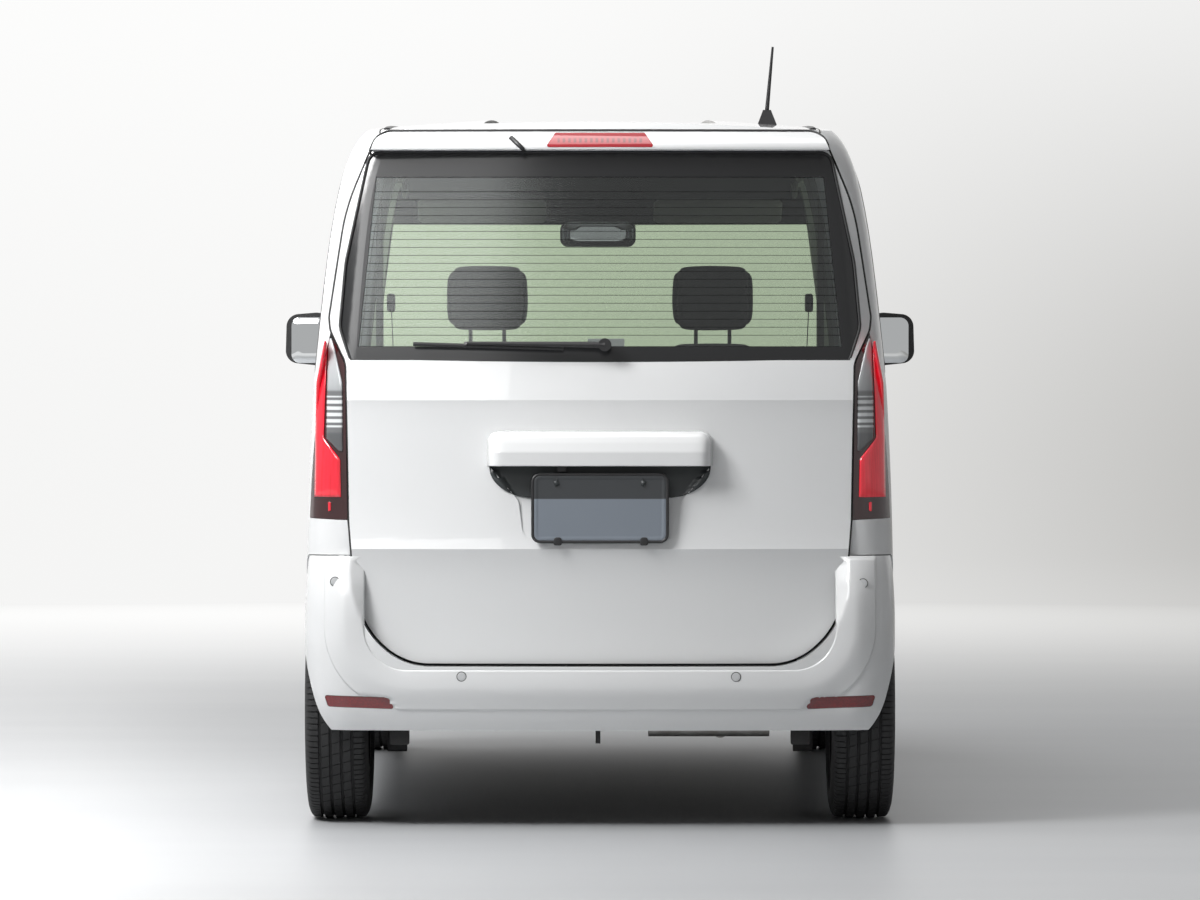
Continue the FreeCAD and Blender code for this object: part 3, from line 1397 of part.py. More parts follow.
feature("windscreen_wipers", Part.Compound([
    windscreen_wiper(430, -30, s.belt_height + 52), windscreen_wiper(-60, -500, s.belt_height + 52)]))

doc.recompute()
failed = [item.Label for item in doc.Objects if "Invalid" in item.State or "Error" in item.State]
failed += [item.Label for item in nodes if item.Shape.isNull() or not item.Shape.isValid()]
if failed:
    raise RuntimeError("failed: " + ", ".join(failed))
os.makedirs("parts", exist_ok=True)
for item in nodes:
    item.Shape.exportStep("parts/%s.step" % item.Label)
print(len(nodes), "nodes")
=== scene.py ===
"""Looks of the kei car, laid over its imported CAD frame.

All sizes are metres in the CAD's frame: +X to the car's right, +Y forward, +Z up, and the
origin on the ground under the middle of the body. The car is seen straight from behind.
"""

import math

import bmesh
import bpy
import numpy as np
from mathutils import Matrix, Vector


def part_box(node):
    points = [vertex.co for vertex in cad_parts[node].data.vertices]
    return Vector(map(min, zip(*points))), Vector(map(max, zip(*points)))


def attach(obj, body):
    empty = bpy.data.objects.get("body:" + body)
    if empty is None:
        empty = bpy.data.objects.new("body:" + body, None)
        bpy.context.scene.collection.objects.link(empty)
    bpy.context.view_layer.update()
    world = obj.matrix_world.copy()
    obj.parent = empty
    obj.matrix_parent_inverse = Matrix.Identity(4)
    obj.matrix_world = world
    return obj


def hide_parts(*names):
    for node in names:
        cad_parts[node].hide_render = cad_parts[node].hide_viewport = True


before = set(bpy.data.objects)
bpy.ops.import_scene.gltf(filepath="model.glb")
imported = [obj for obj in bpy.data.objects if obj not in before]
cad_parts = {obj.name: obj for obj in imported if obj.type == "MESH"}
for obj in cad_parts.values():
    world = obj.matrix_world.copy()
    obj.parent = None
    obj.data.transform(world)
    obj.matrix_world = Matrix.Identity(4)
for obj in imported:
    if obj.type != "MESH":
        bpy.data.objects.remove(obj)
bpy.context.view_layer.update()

# Camera: a long lens 14.55 m behind the rear bumper and 1.2 m above the ground. It is tilted down
# by only one degree, so that upright lines stay upright.
tail_y = -1.6975
camera_distance = 14.55
camera_height = 1.2
camera_tilt = 1.06
long_lens = bpy.data.cameras.new("long_lens")
long_lens.lens = 178.5
long_lens.clip_end = 200
viewer = bpy.data.objects.new("rear_camera", long_lens)
viewer.location = (0, tail_y - camera_distance, camera_height)
viewer.rotation_euler = (math.radians(90 - camera_tilt), 0, 0)
bpy.context.scene.collection.objects.link(viewer)
bpy.context.scene.camera = viewer
bpy.context.scene.view_settings.view_transform = "Standard"


# Studio: a pale seamless floor that rises into a white backdrop, clear from behind and below. Away
# from the car both glow, with painted shade that makes them greyer towards the right and low down.
# Softboxes light the car from the left rear, overhead, the front and the right, and two cards at the
# left rear show only as reflections.
class Finish:
    """A material of nodes round one Principled shader, with patterns on Object coordinates."""

    def __init__(self, name, **sockets):
        self.material = bpy.data.materials.new(name)
        self.material.use_nodes = True
        self.tree = self.material.node_tree
        self.shader = self.tree.nodes["Principled BSDF"]
        coordinates = self.tree.nodes.new("ShaderNodeTexCoord")
        self.place = coordinates.outputs["Object"]
        self.normal = coordinates.outputs["Normal"]
        self.set(**sockets)

    def set(self, **sockets):
        """fills sockets of the shader, base_color for "Base Color" and so on"""
        named = {k.replace("_", " ").title().replace("Ior", "IOR"): v for k, v in sockets.items()}
        self.fill(self.shader, named)
        return self

    def fill(self, node, values):
        """links or sets each named socket of a node"""
        for key, value in values.items():
            socket = node.inputs[key]
            if isinstance(value, bpy.types.NodeSocket):
                self.tree.links.new(value, socket)
            elif isinstance(value, (tuple, list)) and len(value) == 3 and socket.type == "RGBA":
                socket.default_value = (*value, 1.0)
            else:
                socket.default_value = value
        return node

    def node(self, kind, values, **settings):
        """new node of a kind, with its sockets and settings"""
        node = self.tree.nodes.new("ShaderNode" + kind)
        for key, value in settings.items():
            setattr(node, key, value)
        return self.fill(node, values)

    def noise(self, scale, detail=2.0, stretch=(1, 1, 1)):
        """cloudy pattern, its size set by a scale per metre, drawn out where stretch is low"""
        place = self.node("Mapping", {"Vector": self.place, "Scale": stretch}).outputs[0]
        return self.node("TexNoise", {"Vector": place, "Scale": scale, "Detail": detail}).outputs["Fac"]

    def cells(self, scale, stretch=(1, 1, 1)):
        """pattern of cells, dark in the middle of each"""
        place = self.node("Mapping", {"Vector": self.place, "Scale": stretch}).outputs[0]
        return self.node("TexVoronoi", {"Vector": place, "Scale": scale}).outputs["Distance"]

    def axis(self, name, vector=None):
        """one coordinate of the place, or of another vector"""
        return self.node("SeparateXYZ", {"Vector": vector or self.place}).outputs[name]

    def math(self, operation, *values):
        """outcome of an operation on numbers"""
        return self.node("Math", dict(enumerate(values)), operation=operation).outputs[0]

    def vector(self, operation, *values, output="Vector"):
        """outcome of an operation on vectors"""
        return self.node("VectorMath", dict(enumerate(values)), operation=operation).outputs[output]

    def band(self, value, low, high):
        """0 below low, 1 above high, and smooth between them"""
        values = {"Value": value, "From Min": low, "From Max": high}
        return self.node("MapRange", values, interpolation_type="SMOOTHSTEP").outputs["Result"]

    def between(self, value, low, high, soft):
        """1 between low and high, fading over a soft edge on each side"""
        rise = self.band(value, low - soft, low + soft)
        fall = self.band(value, high + soft, high - soft)
        return self.math("MULTIPLY", rise, fall)

    def mix(self, share, first, second):
        """first colour where share is 0, second where it is 1"""
        values = {"Factor": share, 6: first, 7: second}
        values = {k: ((*v, 1.0) if isinstance(v, tuple) else v) for k, v in values.items()}
        return self.node("Mix", values, data_type="RGBA").outputs[2]

    def level(self, share, low, high):
        """number from low to high as share goes from 0 to 1"""
        return self.node("MapRange", {"Value": share, "To Min": low, "To Max": high}).outputs["Result"]

    def bump(self, height, distance, strength):
        """normal of a surface that a pattern raises by a distance"""
        values = {"Height": height, "Distance": distance, "Strength": strength}
        return self.node("Bump", values).outputs["Normal"]

    def blend(self, share, first, second):
        """sends the first shader node to the surface where share is 0, the second where it is 1"""
        both = self.node("MixShader", {0: share, 1: first.outputs[0], 2: second.outputs[0]})
        self.tree.links.new(both.outputs[0], self.tree.nodes["Material Output"].inputs["Surface"])


glow_starts, glow_full = 2.0, 11.0
floor_finish = Finish("studio_floor", roughness=0.42)
rays = floor_finish.node("LightPath", {})
seen_plainly = floor_finish.math("MAXIMUM", rays.outputs["Is Camera Ray"], rays.outputs["Is Glossy Ray"])
seen_plainly = floor_finish.math("MAXIMUM", seen_plainly, rays.outputs["Is Transmission Ray"])
flat_place = floor_finish.vector("MULTIPLY", floor_finish.place, (1.0, 1.0, 0.0))
away = floor_finish.vector("LENGTH", flat_place, output="Value")
glow = floor_finish.math("MULTIPLY", floor_finish.band(away, glow_starts, glow_full), seen_plainly)
# Painted shade: the glow is greyer towards the right and low down, as the light falls off away from the key
# lamp at the left.
to_the_right = floor_finish.band(floor_finish.axis("X"), -2.0, 6.5)
low_down = floor_finish.band(floor_finish.axis("Z"), 4.2, 0.0)
to_the_right = floor_finish.level(to_the_right, 0.14, 1.0)
low_down = floor_finish.level(low_down, 0.20, 1.0)
shade = floor_finish.math("MULTIPLY", to_the_right, low_down)
backdrop = floor_finish.mix(shade, (1.0, 1.0, 0.995), (0.40, 0.395, 0.38))
floor_grain = floor_finish.noise(1.2, 3.0, (0.35, 1.6, 1))
floor_colour = floor_finish.mix(floor_grain, (0.44, 0.45, 0.465), (0.52, 0.53, 0.54))
floor_finish.set(
    base_color=floor_finish.mix(glow, floor_colour, (0.0, 0.0, 0.0)),
    emission_color=backdrop,
    emission_strength=glow,
    specular_ior_level=floor_finish.level(glow, 0.35, 0.0),
    normal=floor_finish.bump(floor_finish.noise(60, 3.0), 0.0006, 0.4))
rear_side = floor_finish.node("NewGeometry", {}).outputs["Backfacing"]
floor_finish.blend(rear_side, floor_finish.shader, floor_finish.node("BsdfTransparent", {}))


def add_mesh(name, points, finish, close_u=False, close_v=False, keep=None):
    """Object over a grid of points (u, v, xyz).
    Quads join each point to the next ones along u and v. A closed direction joins its last row
    to its first, and keep is a mask (u, v) of the quads that stay."""
    rows, columns = points.shape[:2]
    index = np.arange(rows * columns).reshape(rows, columns)
    if close_u:
        index = np.vstack([index, index[:1]])
    if close_v:
        index = np.hstack([index, index[:, :1]])
    quads = np.stack([index[:-1, :-1], index[1:, :-1], index[1:, 1:], index[:-1, 1:]], axis=-1)
    quads = quads[keep] if keep is not None else quads.reshape(-1, 4)
    mesh = bpy.data.meshes.new(name)
    mesh.from_pydata(points.reshape(-1, 3).tolist(), [], quads.tolist())
    mesh.shade_smooth()
    mesh.materials.append(finish.material)
    item = bpy.data.objects.new(name, mesh)
    bpy.context.scene.collection.objects.link(item)
    return item


floor_start, sweep_start, sweep_radius, backdrop_top, studio_half = -40, 16, 8, 40, 45
quarter = np.linspace(0, math.pi / 2, 24)[1:]
along = np.linspace(floor_start, sweep_start, 30)
up = np.concatenate([np.zeros(30), sweep_radius - sweep_radius * np.cos(quarter), [backdrop_top]])
along = np.concatenate([along, sweep_start + sweep_radius * np.sin(quarter), [sweep_start + sweep_radius]])
sweep = np.empty((3, len(along), 3))
sweep[..., 0] = np.linspace(-studio_half, studio_half, 3)[:, None]
sweep[..., 1] = along
sweep[..., 2] = up
studio = add_mesh("studio_floor", sweep, floor_finish)

light_on_the_car, white_in_view, share_in_gloss = 0.10, 0.95, 0.5
world = bpy.data.worlds.new("studio_air")
world.use_nodes = True
bpy.context.scene.world = world
air = world.node_tree
sky = air.nodes["Background"]
ray = air.nodes.new("ShaderNodeLightPath")
seen = air.nodes.new("ShaderNodeMath")
seen.operation = "MAXIMUM"
air.links.new(ray.outputs["Is Camera Ray"], seen.inputs[0])
air.links.new(ray.outputs["Is Transmission Ray"], seen.inputs[1])
mirrored = air.nodes.new("ShaderNodeMath")
mirrored.operation = "MULTIPLY_ADD"
mirrored.inputs[1].default_value = share_in_gloss
mirrored.use_clamp = True
air.links.new(ray.outputs["Is Glossy Ray"], mirrored.inputs[0])
air.links.new(seen.outputs[0], mirrored.inputs[2])
sky_level = air.nodes.new("ShaderNodeMapRange")
sky_level.inputs["To Min"].default_value = light_on_the_car
sky_level.inputs["To Max"].default_value = white_in_view
air.links.new(mirrored.outputs[0], sky_level.inputs["Value"])
air.links.new(sky_level.outputs["Result"], sky.inputs["Strength"])
sky.inputs["Color"].default_value = (1.0, 1.0, 1.0, 1.0)

for lamp_name, place, target, width, height, watts in (
        ("key_softbox", (-2.0, -3.05, 2.95), (-0.3, -1.6, 0.8), 1.0, 1.1, 98),
        ("right_softbox", (6.0, -6.0, 2.8), (0.3, -1.0, 0.9), 3.0, 3.0, 4),
        ("overhead_softbox", (-2.0, -1.4, 6.2), (-0.6, 0, 0), 6.0, 7.0, 330),
        ("left_reflection_card", (-3.4, -7.6, 3.9), (-0.5, -1.6, 1.4), 2.0, 1.8, 85),
        ("middle_reflection_card", (-1.6, -8.1, 3.8), (-0.3, -1.6, 1.4), 1.6, 1.8, 22),
        ("front_softbox", (-3.5, 7.0, 3.2), (0, 1.0, 0.8), 4.0, 3.0, 120)):
    lamp = bpy.data.lights.new(lamp_name, "AREA")
    lamp.shape = "RECTANGLE"
    lamp.size = width
    lamp.size_y = height
    lamp.energy = watts
    holder = bpy.data.objects.new(lamp_name, lamp)
    holder.visible_diffuse = "card" not in lamp_name
    aim = np.array(target, float) - np.array(place, float)
    holder.location = place
    holder.rotation_euler = (math.atan2(np.hypot(aim[0], aim[1]), -aim[2]), 0, math.atan2(-aim[0], aim[1]))
    bpy.context.scene.collection.objects.link(holder)


# Body panels: pressed steel and moulded bumper covers, joined along 5 mm gaps and finished in a
# pearl white with clear lacquer. Inside, the same panels carry moulded trim and headliner cloth.
def pearl(name, lining=None, share=None):
    """pearl lacquer, with a lining where share is 1"""
    finish = Finish(name, coat_weight=1.0, coat_roughness=0.03, coat_ior=1.5)
    cloud = finish.mix(finish.noise(2.2), (0.775, 0.785, 0.79), (0.815, 0.82, 0.82))
    flake = finish.noise(2600, 1.0)
    rough = finish.level(flake, 0.26, 0.42)
    peel = finish.bump(finish.noise(240, 1.0), 0.00004, 0.5)
    if lining:
        mask = share(finish)
        cloud = finish.mix(mask, cloud, lining(finish))
        rough = finish.level(mask, 0.34, 0.85)
        finish.set(coat_weight=finish.level(mask, 1.0, 0.0))
    return finish.set(base_color=cloud, roughness=rough, normal=peel)


def facing_in(finish):
    """1 where a side panel or the roof faces the cabin.
    The way inwards is (-1.8 x, -0.12 y, -0.35), and its dot product with the normal decides."""
    inward = finish.vector("MULTIPLY", finish.place, (-1.8, -0.12, 0.0))
    inward = finish.vector("ADD", inward, (0.0, 0.0, -0.35))
    facing = finish.vector("DOT_PRODUCT", inward, finish.normal, output="Value")
    return finish.band(facing, 0.30, 0.45)


def facing_forward(finish):
    """1 where a rear panel faces the cabin"""
    return finish.band(finish.axis("Y", finish.normal), 0.25, 0.4)


def trim_colours(finish):
    """pale pillar trim and headliner above the window line, darker moulded trim below it"""
    grain = finish.cells(420)
    upper = finish.mix(grain, (0.30, 0.295, 0.285), (0.36, 0.355, 0.345))
    lower = finish.mix(grain, (0.035, 0.035, 0.037), (0.06, 0.06, 0.063))
    return finish.mix(finish.band(finish.axis("Z"), 1.08, 1.10), lower, upper)


lined_pearl = pearl("pearl_with_trim", trim_colours, facing_in)
gate_pearl = pearl("pearl_with_gate_trim", trim_colours, facing_forward)
plain_pearl = pearl("pearl_lacquer")


def dress(finish, *names):
    """gives CAD nodes a finish"""
    for name in names:
        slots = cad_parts[name].data.materials
        slots.clear()
        slots.append(finish.material)


dress(lined_pearl, "body_side_right", "body_side_left", "roof_panel", "front_door_right", "front_door_left",
      "sliding_door_right", "sliding_door_left")
dress(gate_pearl, "tailgate", "rear_bumper")
dress(plain_pearl, "hood", "front_fenders", "front_bumper", "plate_garnish")


# Moulded black parts: injection-moulded polypropylene with a fine grain, satin on the outside
# fittings and dull inside and underneath. They are clipped or screwed to the body.
def moulded(name, colour, roughness, grain_size=700.0):
    """grained plastic of a colour"""
    finish = Finish(name)
    grain = finish.cells(grain_size)
    paler = tuple(min(1.0, c * 1.5 + 0.004) for c in colour)
    return finish.set(
        base_color=finish.mix(finish.noise(9), colour, paler),
        roughness=finish.level(grain, roughness - 0.06, roughness + 0.06),
        normal=finish.bump(grain, 0.0002, 0.35))


satin_black = moulded("satin_black_plastic", (0.012, 0.012, 0.013), 0.38)
dull_black = moulded("dull_black_plastic", (0.02, 0.02, 0.021), 0.62)
trim_dark = moulded("dark_trim_plastic", (0.035, 0.035, 0.037), 0.6, 420.0)
dress(satin_black, "door_mirror_right", "door_mirror_left", "antenna", "windscreen_wipers", "grille")
dress(trim_dark, "dashboard", "interior_mirror", "steering_wheel")
dress(dull_black, "fuel_tank", "front_seats", "rear_seat")


# Underbody: sealed black steel with road dust on it, cast and machined parts of the running gear,
# and an aluminised exhaust.
def metal(name, colour, dust, roughness, metallic):
    """metal with a cloudy bloom of dust"""
    finish = Finish(name, metallic=metallic)
    cloud = finish.noise(14, 4.0)
    share = finish.math("MULTIPLY", finish.band(cloud, 0.35, 0.75), 0.6)
    return finish.set(
        base_color=finish.mix(share, colour, dust),
        roughness=finish.level(cloud, roughness, min(1.0, roughness + 0.3)),
        normal=finish.bump(finish.noise(160, 3.0), 0.0004, 0.5))


sealed = metal("sealed_underbody", (0.015, 0.015, 0.016), (0.055, 0.052, 0.05), 0.6, 0.0)
cast = metal("cast_metal", (0.18, 0.18, 0.185), (0.10, 0.095, 0.09), 0.45, 0.8)
dress(sealed, "floor_pan", "load_floor", "rear_wheelhouse_left", "rear_wheelhouse_right",
      "front_structure", "front_subframe", "rear_axle")
dress(cast, "front_knuckle_right", "front_knuckle_left", "steering_rack", "engine_block", "drive_shafts")
dress(metal("aluminised_exhaust", (0.42, 0.41, 0.40), (0.16, 0.14, 0.12), 0.35, 1.0), "exhaust")


# Wheels and tyres: 155/65 R14 radials on steel wheels under a silver full cover, pressed on by its
# clips; the four wheel bolts sit in the cover's middle.
rear_axle_y = -1.3025
front_axle_y = 1.2175
wheel_x = 0.6525
tyre_radius = 0.2785
rubber = moulded("tyre_rubber", (0.016, 0.016, 0.0165), 0.72, 900.0)


def tyre_surface():
    """Rings (angle, along the section, xyz) of a tyre about the X axis.
    The section runs from bead to bead, and the tread falls away from its middle by 9 |x|^2.9.
    Four grooves go round the tread, sipes cross its ribs and notches its shoulders, all pressed
    into the radius; they slant, so the angle grows with x."""
    groove_half, groove_edge, groove_depth = 0.0034, 0.0008, 0.0065
    sipe_depth, notch_depth = 0.0022, 0.0036
    rib_half, shoulder_half, slant = 0.043, 0.072, 1.1
    grooves = np.array([-0.040, -0.0135, 0.0135, 0.040])
    tread_x = [-0.064, -0.057]
    for middle in grooves:
        for edge in (-groove_half, groove_half):
            tread_x += [middle + edge - groove_edge, middle + edge + groove_edge]
        if middle < grooves[-1]:
            tread_x += [middle + 0.013]
    tread_x = np.array(tread_x + [0.057, 0.064])
    crown = tyre_radius - 0.0002 - 9.0 * np.abs(tread_x) ** 2.9
    grooved = np.min(np.abs(tread_x[:, None] - grooves), axis=1) < groove_half
    wall_x = np.array([0.064, 0.0655, 0.0705, 0.0765, 0.0782, 0.0785, 0.0779, 0.0762, 0.0728, 0.0685])
    wall_r = np.array([0.179, 0.190, 0.199, 0.212, 0.2145, 0.226, 0.240, 0.252, 0.263, 0.2705])
    x = np.concatenate([-wall_x, tread_x, wall_x[::-1]])
    r = np.concatenate([wall_r, crown - grooved * groove_depth, wall_r[::-1]])
    plain_wall = np.zeros(len(wall_x))
    on_tread = np.concatenate([plain_wall, np.where(grooved, 0.0, 1.0), plain_wall])
    on_shoulder = np.where((np.abs(x) > rib_half) & (np.abs(x) < shoulder_half), 1.0, 0.0)
    pitches = 58
    phase = np.array([0.0, 0.02, 0.09, 0.11, 0.5, 0.52, 0.59, 0.61])
    sipe = np.tile(np.array([0, 1, 1, 0, 0, 0, 0, 0.0]), pitches)[:, None]
    notch = np.tile(np.array([0, 0, 0, 0, 0, 1, 1, 0.0]), pitches)[:, None]
    cut = sipe * (sipe_depth * on_tread + sipe_depth * on_shoulder)
    r = r - (cut + notch * notch_depth * on_shoulder)
    angle = ((np.arange(pitches)[:, None] + phase) * (2 * math.pi / pitches)).reshape(-1)
    angle = angle[:, None] + slant * np.clip(x, -rib_half, rib_half)
    return np.stack([np.broadcast_to(x, r.shape), r * np.sin(angle), r * np.cos(angle)], axis=-1)


def cover_surface(sign):
    """Rings (angle, radius, xyz) of the wheel cover and a mask of the quads that stay.
    Out along the radius it is a shallow dish with a raised lip and hub. Ten windows leave out
    quads between their edges, which close in towards the hub."""
    windows, window_inner, window_outer = 10, 0.098, 0.151
    opens, open_share, closes = 0.24, 0.52, 0.76
    spoke_height = 0.0030
    radius = np.array([
        0.0, 0.012, 0.026, 0.030, 0.044, 0.060, 0.080, 0.094, 0.098, 0.112,
        0.126, 0.140, 0.151, 0.155, 0.166, 0.174, 0.1795, 0.1815, 0.1815])
    height = np.array([
        0.0625, 0.0625, 0.0615, 0.0585, 0.0580, 0.0600, 0.0635, 0.0655, 0.0656, 0.0665,
        0.0668, 0.0660, 0.0645, 0.0640, 0.0650, 0.0670, 0.0660, 0.0630, 0.0600])
    share = np.array([0.0, 0.10, 0.20, opens, 0.5, closes, 0.80, 0.90])
    sector = 2 * math.pi / windows
    opening = np.interp(radius, [0.09, 0.098, 0.126, 0.151, 0.16], [0.10, 0.16, 0.20, 0.205, 0.20])
    edge = sector / 2 + 0 * opening
    turn = share[:, None]
    before = -edge + (-opening + edge) * turn / opens
    across = -opening + (opening + opening) * (turn - opens) / open_share
    beyond = opening + (edge - opening) * (turn - closes) / opens
    within = np.where(turn < opens, before, np.where(turn <= closes, across, beyond))
    angle = (np.arange(windows)[:, None, None] * sector + within).reshape(-1, len(radius))
    spoke = np.tile(np.array([0.0, 0.6, 0.4, 0.0, 0.0, 0.0, 0.4, 0.6]), windows)
    relief = np.where((radius > 0.09) & (radius < 0.16), spoke_height, 0.0) * spoke[:, None]
    x = np.broadcast_to(sign * (height + relief), angle.shape)
    points = np.stack([x, radius * np.sin(angle), radius * np.cos(angle)], axis=-1)
    open_turn = np.tile((share >= opens) & (share < closes), windows)[:, None]
    open_radius = (radius[:-1] >= window_inner) & (radius[:-1] < window_outer)
    return points, ~(open_turn & open_radius)


def turned(profile, steps=96):
    """Rings (angle, profile, xyz) about the X axis from a profile of (x, radius) points."""
    profile = np.asarray(profile, float)
    angle = np.linspace(0, 2 * math.pi, steps, endpoint=False)[:, None]
    x = np.broadcast_to(profile[:, 0], (steps, len(profile)))
    return np.stack([x, profile[:, 1] * np.sin(angle), profile[:, 1] * np.cos(angle)], axis=-1)


def thicken(item, wall):
    """gives a sheet its wall, behind its face"""
    modifier = item.modifiers.new("wall", "SOLIDIFY")
    modifier.thickness = wall
    modifier.offset = -1.0
    return item


def crease(item, degrees):
    """keeps edges sharper than an angle"""
    item.data.set_sharp_from_angle(angle=math.radians(degrees))
    return item


cover_paint = Finish("silver_cover_paint", metallic=0.55, roughness=0.34, coat_weight=0.4, coat_roughness=0.1)
cover_paint.set(
    base_color=cover_paint.mix(cover_paint.noise(1500, 1.0), (0.38, 0.39, 0.40), (0.58, 0.585, 0.59)),
    normal=cover_paint.bump(cover_paint.noise(220, 2.0), 0.00004, 0.5))
wheel_black = metal("black_steel_wheel", (0.012, 0.012, 0.013), (0.03, 0.029, 0.028), 0.5, 0.2)
bare_bolt = metal("zinc_bolt", (0.42, 0.41, 0.38), (0.2, 0.19, 0.18), 0.35, 0.9)
hexagon = np.arange(6) * (math.pi / 3)
rim_profile = [
    (-0.070, 0.170), (-0.070, 0.190), (-0.064, 0.191), (-0.063, 0.1785), (0.063, 0.1785), (0.064, 0.191),
    (0.070, 0.190), (0.070, 0.183), (0.059, 0.181), (0.056, 0.172), (0.034, 0.168), (0.026, 0.150),
    (0.032, 0.120), (0.036, 0.090), (0.026, 0.066), (0.022, 0.040), (0.022, 0.021), (0.014, 0.021),
    (0.014, 0.062), (0.024, 0.098), (0.018, 0.150), (0.010, 0.166), (-0.060, 0.168)]


def road_wheel(place, sign, axle_y):
    """tyre, cover, steel wheel and four bolts of one wheel"""
    bolt_circle, bolt_radius, bolt_face, bolt_foot = 0.050, 0.0095, 0.062, 0.0555
    node = "wheel_" + place
    centre = np.array([sign * wheel_x, axle_y, tyre_radius])
    tyre = crease(add_mesh("rubber_" + place, tyre_surface() + centre, rubber, close_u=True), 40)
    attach(tyre, node)
    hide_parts("tyre_" + place)
    points, keep = cover_surface(sign)
    cover = add_mesh("cover_" + place, points + centre, cover_paint, close_u=True, keep=keep)
    thicken(cover, 0.0022)
    rim = turned([(sign * x, radius) for x, radius in rim_profile]) + centre
    disc = crease(add_mesh("steel_" + place, rim, wheel_black, close_u=True, close_v=True), 28)
    ring = np.array([[0.0, bolt_face], [bolt_radius, bolt_face], [bolt_radius, bolt_foot]])
    x = np.broadcast_to(sign * ring[:, 1], (6, 3))
    y, z = ring[:, 0] * np.sin(hexagon)[:, None], ring[:, 0] * np.cos(hexagon)[:, None]
    head = np.stack([x, y, z], axis=-1)
    bolts = []
    for k, turn in enumerate(np.arange(4) * (math.pi / 2) + math.pi / 4):
        middle = np.array([0.0, bolt_circle * math.sin(turn), bolt_circle * math.cos(turn)])
        bolt_mesh = add_mesh("bolt_%s_%d" % (place, k), head + middle + centre, bare_bolt, close_u=True)
        bolts.append(crease(bolt_mesh, 20))
    for item in [cover, disc] + bolts:
        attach(item, node)
    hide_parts(node)


for end, axle_y in (("front", front_axle_y), ("rear", rear_axle_y)):
    for side, sign in (("left", -1), ("right", 1)):
        road_wheel("%s_%s" % (end, side), sign, axle_y)


# Glass: green-tinted windscreen and front panes, near-black privacy panes behind them. Each is
# bonded along a black ceramic band; the tailgate's pane has fine heater lines printed inside.
def pane(name, tint, band=None):
    """glass that tints what shows through it; band is the mask of its opaque print"""
    mirror, ceramic, glass_index = (0.9, 0.92, 0.92), (0.016, 0.0165, 0.0175), 1.52
    finish = Finish(name, base_color=mirror, metallic=1.0, roughness=0.01)
    behind = finish.node("NewGeometry", {}).outputs["Backfacing"]
    sheen = finish.node("Fresnel", {"IOR": finish.level(behind, glass_index, 1 / glass_index)}).outputs[0]
    share = finish.math("MULTIPLY", sheen, 1.15)
    if band:
        mask = band(finish)
        share = finish.math("MAXIMUM", share, mask)
        printed = finish.band(mask, 0.0, 0.2)
        finish.set(
            base_color=finish.mix(printed, mirror, ceramic),
            metallic=finish.level(printed, 1.0, 0.0),
            roughness=0.16)
    finish.blend(share, finish.node("BsdfTransparent", {"Color": tint}), finish.shader)
    return finish


def gate_print(finish):
    """ceramic band of the tailgate's pane and its heater lines, 19.7 mm apart"""
    top_z, top_half, widening, line_pitch = 1.664, 0.545, 0.10, 0.0197
    x, z = finish.axis("X"), finish.axis("Z")
    width = finish.math("MULTIPLY_ADD", finish.math("SUBTRACT", top_z, z), widening, top_half)
    sides = finish.band(finish.math("SUBTRACT", finish.math("ABSOLUTE", x), width), 0.0, 0.004)
    low = finish.band(z, 1.186, 1.182)
    top = finish.band(z, 1.600, 1.604)
    edge = finish.math("MAXIMUM", sides, finish.math("MAXIMUM", low, top))
    step = finish.math("FRACT", finish.math("DIVIDE", z, line_pitch))
    line = finish.between(step, 0.46, 0.54, 0.02)
    reach = finish.math("MULTIPLY", finish.between(z, 1.21, 1.575, 0.001), 0.55)
    return finish.math("MAXIMUM", edge, finish.math("MULTIPLY", line, reach))


def windscreen_print(finish):
    """ceramic band round the windscreen, deeper behind the interior mirror"""
    x, z = finish.axis("X"), finish.axis("Z")
    ahead = finish.band(finish.axis("Y"), 0.50, 0.52)
    low = finish.band(z, 1.155, 1.150)
    patch = finish.math("MULTIPLY", finish.between(x, -0.10, 0.10, 0.004), finish.band(z, 1.48, 1.484))
    top = finish.math("MAXIMUM", finish.band(z, 1.526, 1.530), patch)
    edge = finish.math("MAXIMUM", low, top)
    return finish.math("MULTIPLY", edge, ahead)


front_tint = (0.86, 0.93, 0.79)
privacy_tint = (0.80, 0.82, 0.81)
dress(pane("front_door_glass", front_tint), "front_door_glass_right", "front_door_glass_left")
dress(pane("tailgate_privacy_glass", privacy_tint, gate_print), "tailgate_glass")


def body_tint(finish):
    """green in front of the door pillar, grey privacy tint behind it"""
    return finish.mix(finish.band(finish.axis("Y"), -0.14, -0.12), (0.42, 0.44, 0.44), front_tint)


body_pane = pane("body_glass", front_tint, windscreen_print)
shader_tint = next(n for n in body_pane.tree.nodes if n.type == "BSDF_TRANSPARENT")
body_pane.tree.links.new(body_tint(body_pane), shader_tint.inputs["Color"])
dress(body_pane, "body_glass")


# Rubber seals: extruded beads pressed onto the flanges in the panel gaps, and bonded round each
# pane. Each follows the outline of its opening on the curved skin.
seal_rubber = moulded("seal_rubber", (0.008, 0.008, 0.0085), 0.55, 1200.0)


def read(items, key, kind=float):
    """a vector (n, 3) for each of a mesh's points, faces or triangles"""
    values = np.empty(len(items) * 3, kind)
    items.foreach_get(key, values)
    return values.reshape(-1, 3)


def triangles(name):
    """corners (triangle, corner, xyz) of a CAD node's mesh"""
    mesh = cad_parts[name].data
    mesh.calc_loop_triangles()
    return read(mesh.vertices, "co")[read(mesh.loop_triangles, "vertices", int)]


